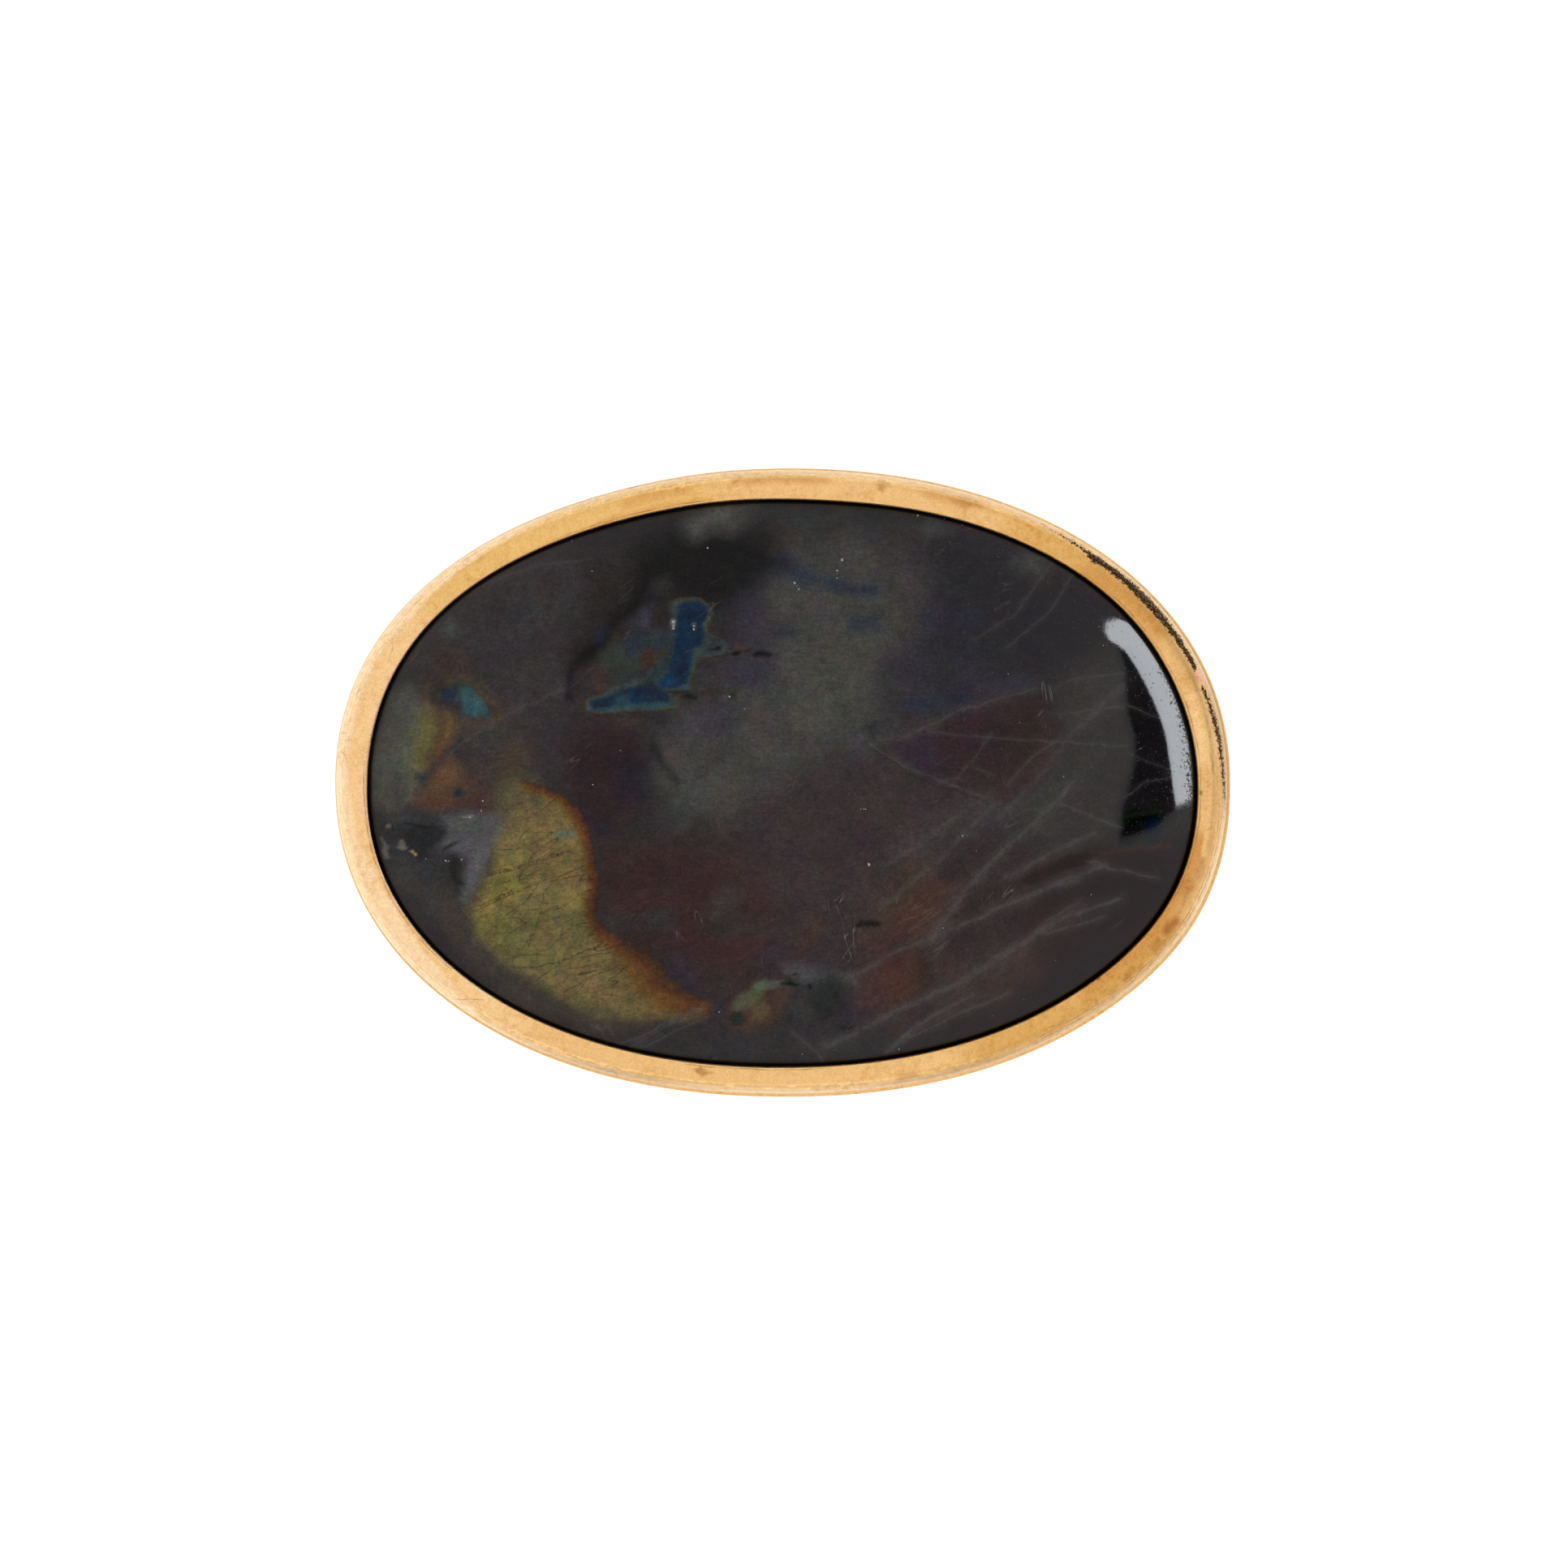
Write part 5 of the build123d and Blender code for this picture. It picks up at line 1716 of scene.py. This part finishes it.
def bezel_material():
    """The painted gold with its satin grain, brown mottling, pits, streaks and lines."""
    shader = Shader("worn_gold")
    place = shader.millimetres()
    shown = shader.attribute("gold", "Color")
    streak, outside, lip = shader.split(shader.attribute("traces"))
    broad = shader.noise(place, 3.2, 3.0, 0.55)
    spots = shader.noise(place, 0.36, 5.0, 0.68)
    grain = shader.noise(place, 0.10, 3.0, 0.65)
    tarnish = shader.times(shader.span(broad, 0.38, 0.66, 0.3, 1.0), shader.span(spots, 0.42, 0.68))
    shown = shader.mix(shader.times(tarnish, 0.75), shown, shader.scaled(shown, BROWNING))
    shown = shader.tint(shown, shader.swing(grain, 0.88, 1.10))

    lines = gold_lines(shader, place, outside, lip)
    pits = dots(shader, place, 1.9, (0.02, 0.08), (0.80, 0.86))
    shown = shader.mix(lines, shown, GOLD_BROWN)
    shown = drawn_lines(shader, place, shown, "scratches", GOLD_BROWN, 0.9, 0.9)
    shown = shader.mix(shader.times(pits, 0.6), shown, GOLD_BROWN)

    ragged = shader.swing(shader.noise(place, 0.14, 3.0, 0.7), -0.12, 0.09)
    flecks = shader.span(shader.noise(place, 0.10, 3.0, 0.7), 0.50, 0.66)
    night = shader.mix(flecks, (*tone("gold_night"), 1.0), GOLD_FLECK)
    shown = shader.mix(shader.span(shader.plus(streak, ragged), -0.02, 0.04), shown, night)

    height = shader.minus(shader.minus(grain, shader.times(pits, 3.0)), lines)
    return shader.finish({
        "Base Color": shown,
        "Metallic": 1.0,
        "Roughness": shader.span(spots, 0.3, 0.75, 0.30, 0.44),
        "Normal": shader.bump(height, WORN_HEIGHT),
    })


def pin_material():
    """The pin's satin gold with brown mottling, pits and fine lines."""
    shader = Shader("pin_gold")
    place = shader.millimetres()
    broad = shader.noise(place, 3.5, 3.0, 0.55)
    spots = shader.noise(place, 0.55, 5.0, 0.62)
    grain = shader.noise(place, 0.16, 3.0, 0.6)
    tarnish = shader.times(shader.span(broad, 0.35, 0.65, 0.25, 1.0), shader.span(spots, 0.46, 0.72))
    clean = shader.mix(shader.span(grain, 0.3, 0.7), *PIN_CLEAN)
    shown = shader.mix(shader.times(tarnish, PIN_WEAR), clean, PIN_TARNISH)
    pits = dots(shader, place, 1.7, (0.02, 0.09), (0.7, 0.75))
    lines = scratch_lines(shader, place, 0.6, 0.5, 0.02, 0.55)
    height = shader.minus(shader.minus(grain, shader.times(pits, 3.0)), lines)
    return shader.finish({
        "Base Color": shader.mix(shader.times(pits, 0.6), shown, PIN_PIT),
        "Metallic": 1.0,
        "Roughness": shader.span(spots, 0.3, 0.75, 0.30, 0.46),
        "Normal": shader.bump(height, SATIN_HEIGHT),
    })


# Light and view

# The strip and the gap are cards at this distance from the stone, in m, and the strip glows
STRIP_DISTANCE = 0.35
STRIP_COLOUR = (0.94, 0.98, 1.03, 1)
STRIP_STRENGTH = 8.0
GAP_DISTANCE = 0.6
GAP_COLOUR = (0, 0, 0, 1)

# The floor's reach to each side and its drop, in m: it lies a hair below the setting's foot, so that the
# two faces don't fight. It glows a little and has a light of its own
FLOOR_REACH = 3.0
FLOOR_DROP = 0.00005
FLOOR_COLOUR = (0.9, 0.9, 0.9, 1)
FLOOR_STRENGTH = 0.35
FLOOR_LIGHT_HEIGHT = 1.2
FLOOR_LIGHT_WIDTH = 1.6
FLOOR_LIGHT_POWER = 22
WHITE = (1, 1, 1, 1)


def place_object(name, data):
    """A new object in the scene."""
    placed = bpy.data.objects.new(name, data)
    bpy.context.scene.collection.objects.link(placed)
    return placed


def collection_of(name, *pieces):
    """A collection for light linking that holds the pieces."""
    linked = bpy.data.collections.new(name)
    for piece in pieces:
        linked.objects.link(piece)
    return linked


def card_between(name, inner, outer, distance, colour, strength):
    """A card that shows on the stone between two lines of places, at a distance in metres from it."""
    points = []
    for x, y in from_photo([place for pair in zip(inner, outer) for place in pair]):
        start = np.array([x, y, float(dome(x, y))]) * MM
        points.append(tuple(start + distance * mirrored(x, y)))
    faces = [(2 * k, 2 * k + 1, 2 * k + 3, 2 * k + 2) for k in range(len(inner) - 1)]
    mesh = bpy.data.meshes.new(name)
    mesh.from_pydata(points, [], faces)
    card = place_object(name, mesh)
    shader = Shader(name)
    shown = shader.add("ShaderNodeEmission", {"Color": colour, "Strength": strength}).outputs[0]
    if strength:
        # A card that glows lets through what lies behind it, for the gold that it isn't linked to
        clear = shader.add("ShaderNodeBsdfTransparent").outputs[0]
        shown = shader.add("ShaderNodeAddShader", {0: shown, 1: clear}).outputs[0]
        card.light_linking.receiver_collection = collection_of(name + "_on", stone)
    shader.add("ShaderNodeOutputMaterial", {"Surface": shown})
    mesh.materials.append(shader.material)
    card.visible_camera = False
    card.visible_diffuse = False
    card.visible_shadow = False


def make_floor():
    """The white floor that the brooch lies on."""
    mesh = bpy.data.meshes.new("floor")
    corner_signs = ((-1, -1), (1, -1), (1, 1), (-1, 1))
    places = [(x * FLOOR_REACH, y * FLOOR_REACH, -FLOOR_DROP) for x, y in corner_signs]
    mesh.from_pydata(places, [], [(0, 1, 2, 3)])
    floor = place_object("floor", mesh)
    mesh.materials.append(Shader("floor_white").finish({
        "Base Color": FLOOR_COLOUR,
        "Roughness": 0.9,
        "Specular IOR Level": 0.0,
        "Emission Color": WHITE,
        "Emission Strength": FLOOR_STRENGTH,
    }))


def make_room():
    """The room's light: dim overhead, brighter towards the walls and brightest at the two sides."""
    world = bpy.data.worlds.new("studio")
    bpy.context.scene.world = world
    world.use_nodes = True
    world.node_tree.nodes.clear()
    shader = Shader.on(world.node_tree)
    x, y, z = shader.split(shader.add("ShaderNodeTexCoord").outputs["Generated"])
    walls = shader.span(z, *WALLS_SPAN, WALLS, 0.0)
    sides = shader.span(shader.size(x), *SIDES_SPAN, 0.0, SIDES)
    light = shader.plus(shader.plus(walls, sides), OVERHEAD)
    flat = shader.larger(z, LOWEST_HAZE)
    rise = shader.span(shader.math("DIVIDE", x, flat), 0.0, HAZE_RISE, 0.0, HAZE)
    end = shader.span(shader.math("DIVIDE", y, flat), *HAZE_END, 1.0, 0.0)
    light = shader.larger(light, shader.times(rise, end))
    light = shader.larger(light, shader.add("ShaderNodeLightPath").outputs["Is Camera Ray"])
    glow = shader.add("ShaderNodeBackground", {"Color": WHITE, "Strength": light})
    shader.add("ShaderNodeOutputWorld", {"Surface": glow.outputs[0]})


def light_overhead(name, height, width, power, glossy):
    """A square light straight above the brooch's middle that shines down."""
    data = bpy.data.lights.new(name, "AREA")
    data.shape = "RECTANGLE"
    data.size = width
    data.size_y = width
    data.energy = power
    light = place_object(name, data)
    light.location = (0, 0, height)
    light.visible_glossy = glossy
    light.visible_camera = False
    return light


def make_camera():
    """The camera looks straight down at the photograph's middle."""
    data = bpy.data.cameras.new("camera")
    data.sensor_width = SENSOR_WIDTH
    data.lens = SENSOR_WIDTH * CAMERA_HEIGHT / (VIEW_WIDTH * MM)
    data.clip_end = CLIP_END
    camera = place_object("camera", data)
    camera.location = (VIEW_CENTRE[0] * MM, VIEW_CENTRE[1] * MM, CAMERA_HEIGHT)
    bpy.context.scene.camera = camera


bezel = make_bezel()
paint_bezel(bezel)
bezel.data.materials.append(bezel_material())
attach(bezel, "root")
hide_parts("setting")

stone = make_stone()
paint_stone(stone)
stone.data.materials.append(stone_material())
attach(stone, "root")
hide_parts("cabochon")

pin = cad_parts["pin_back"]
pin.data.materials.clear()
pin.data.materials.append(pin_material())

card_between("strip_light", STRIP_INNER, STRIP_OUTER, STRIP_DISTANCE, STRIP_COLOUR, STRIP_STRENGTH)
card_between("dark_gap", GAP_INNER, GAP_OUTER, GAP_DISTANCE, GAP_COLOUR, 0.0)
make_floor()
make_room()
light_overhead("floor_light", FLOOR_LIGHT_HEIGHT, FLOOR_LIGHT_WIDTH, FLOOR_LIGHT_POWER, False)
gold_power = math.pi * LAMP_WIDTH**2 * LAMP_GLOW
gold_light = light_overhead("gold_light", LAMP_HEIGHT, LAMP_WIDTH, gold_power, True)
gold_light.light_linking.receiver_collection = collection_of("lit_gold", bezel, pin)
make_camera()

scene = bpy.context.scene
scene.view_settings.view_transform = "Standard"
scene.view_settings.look = "None"
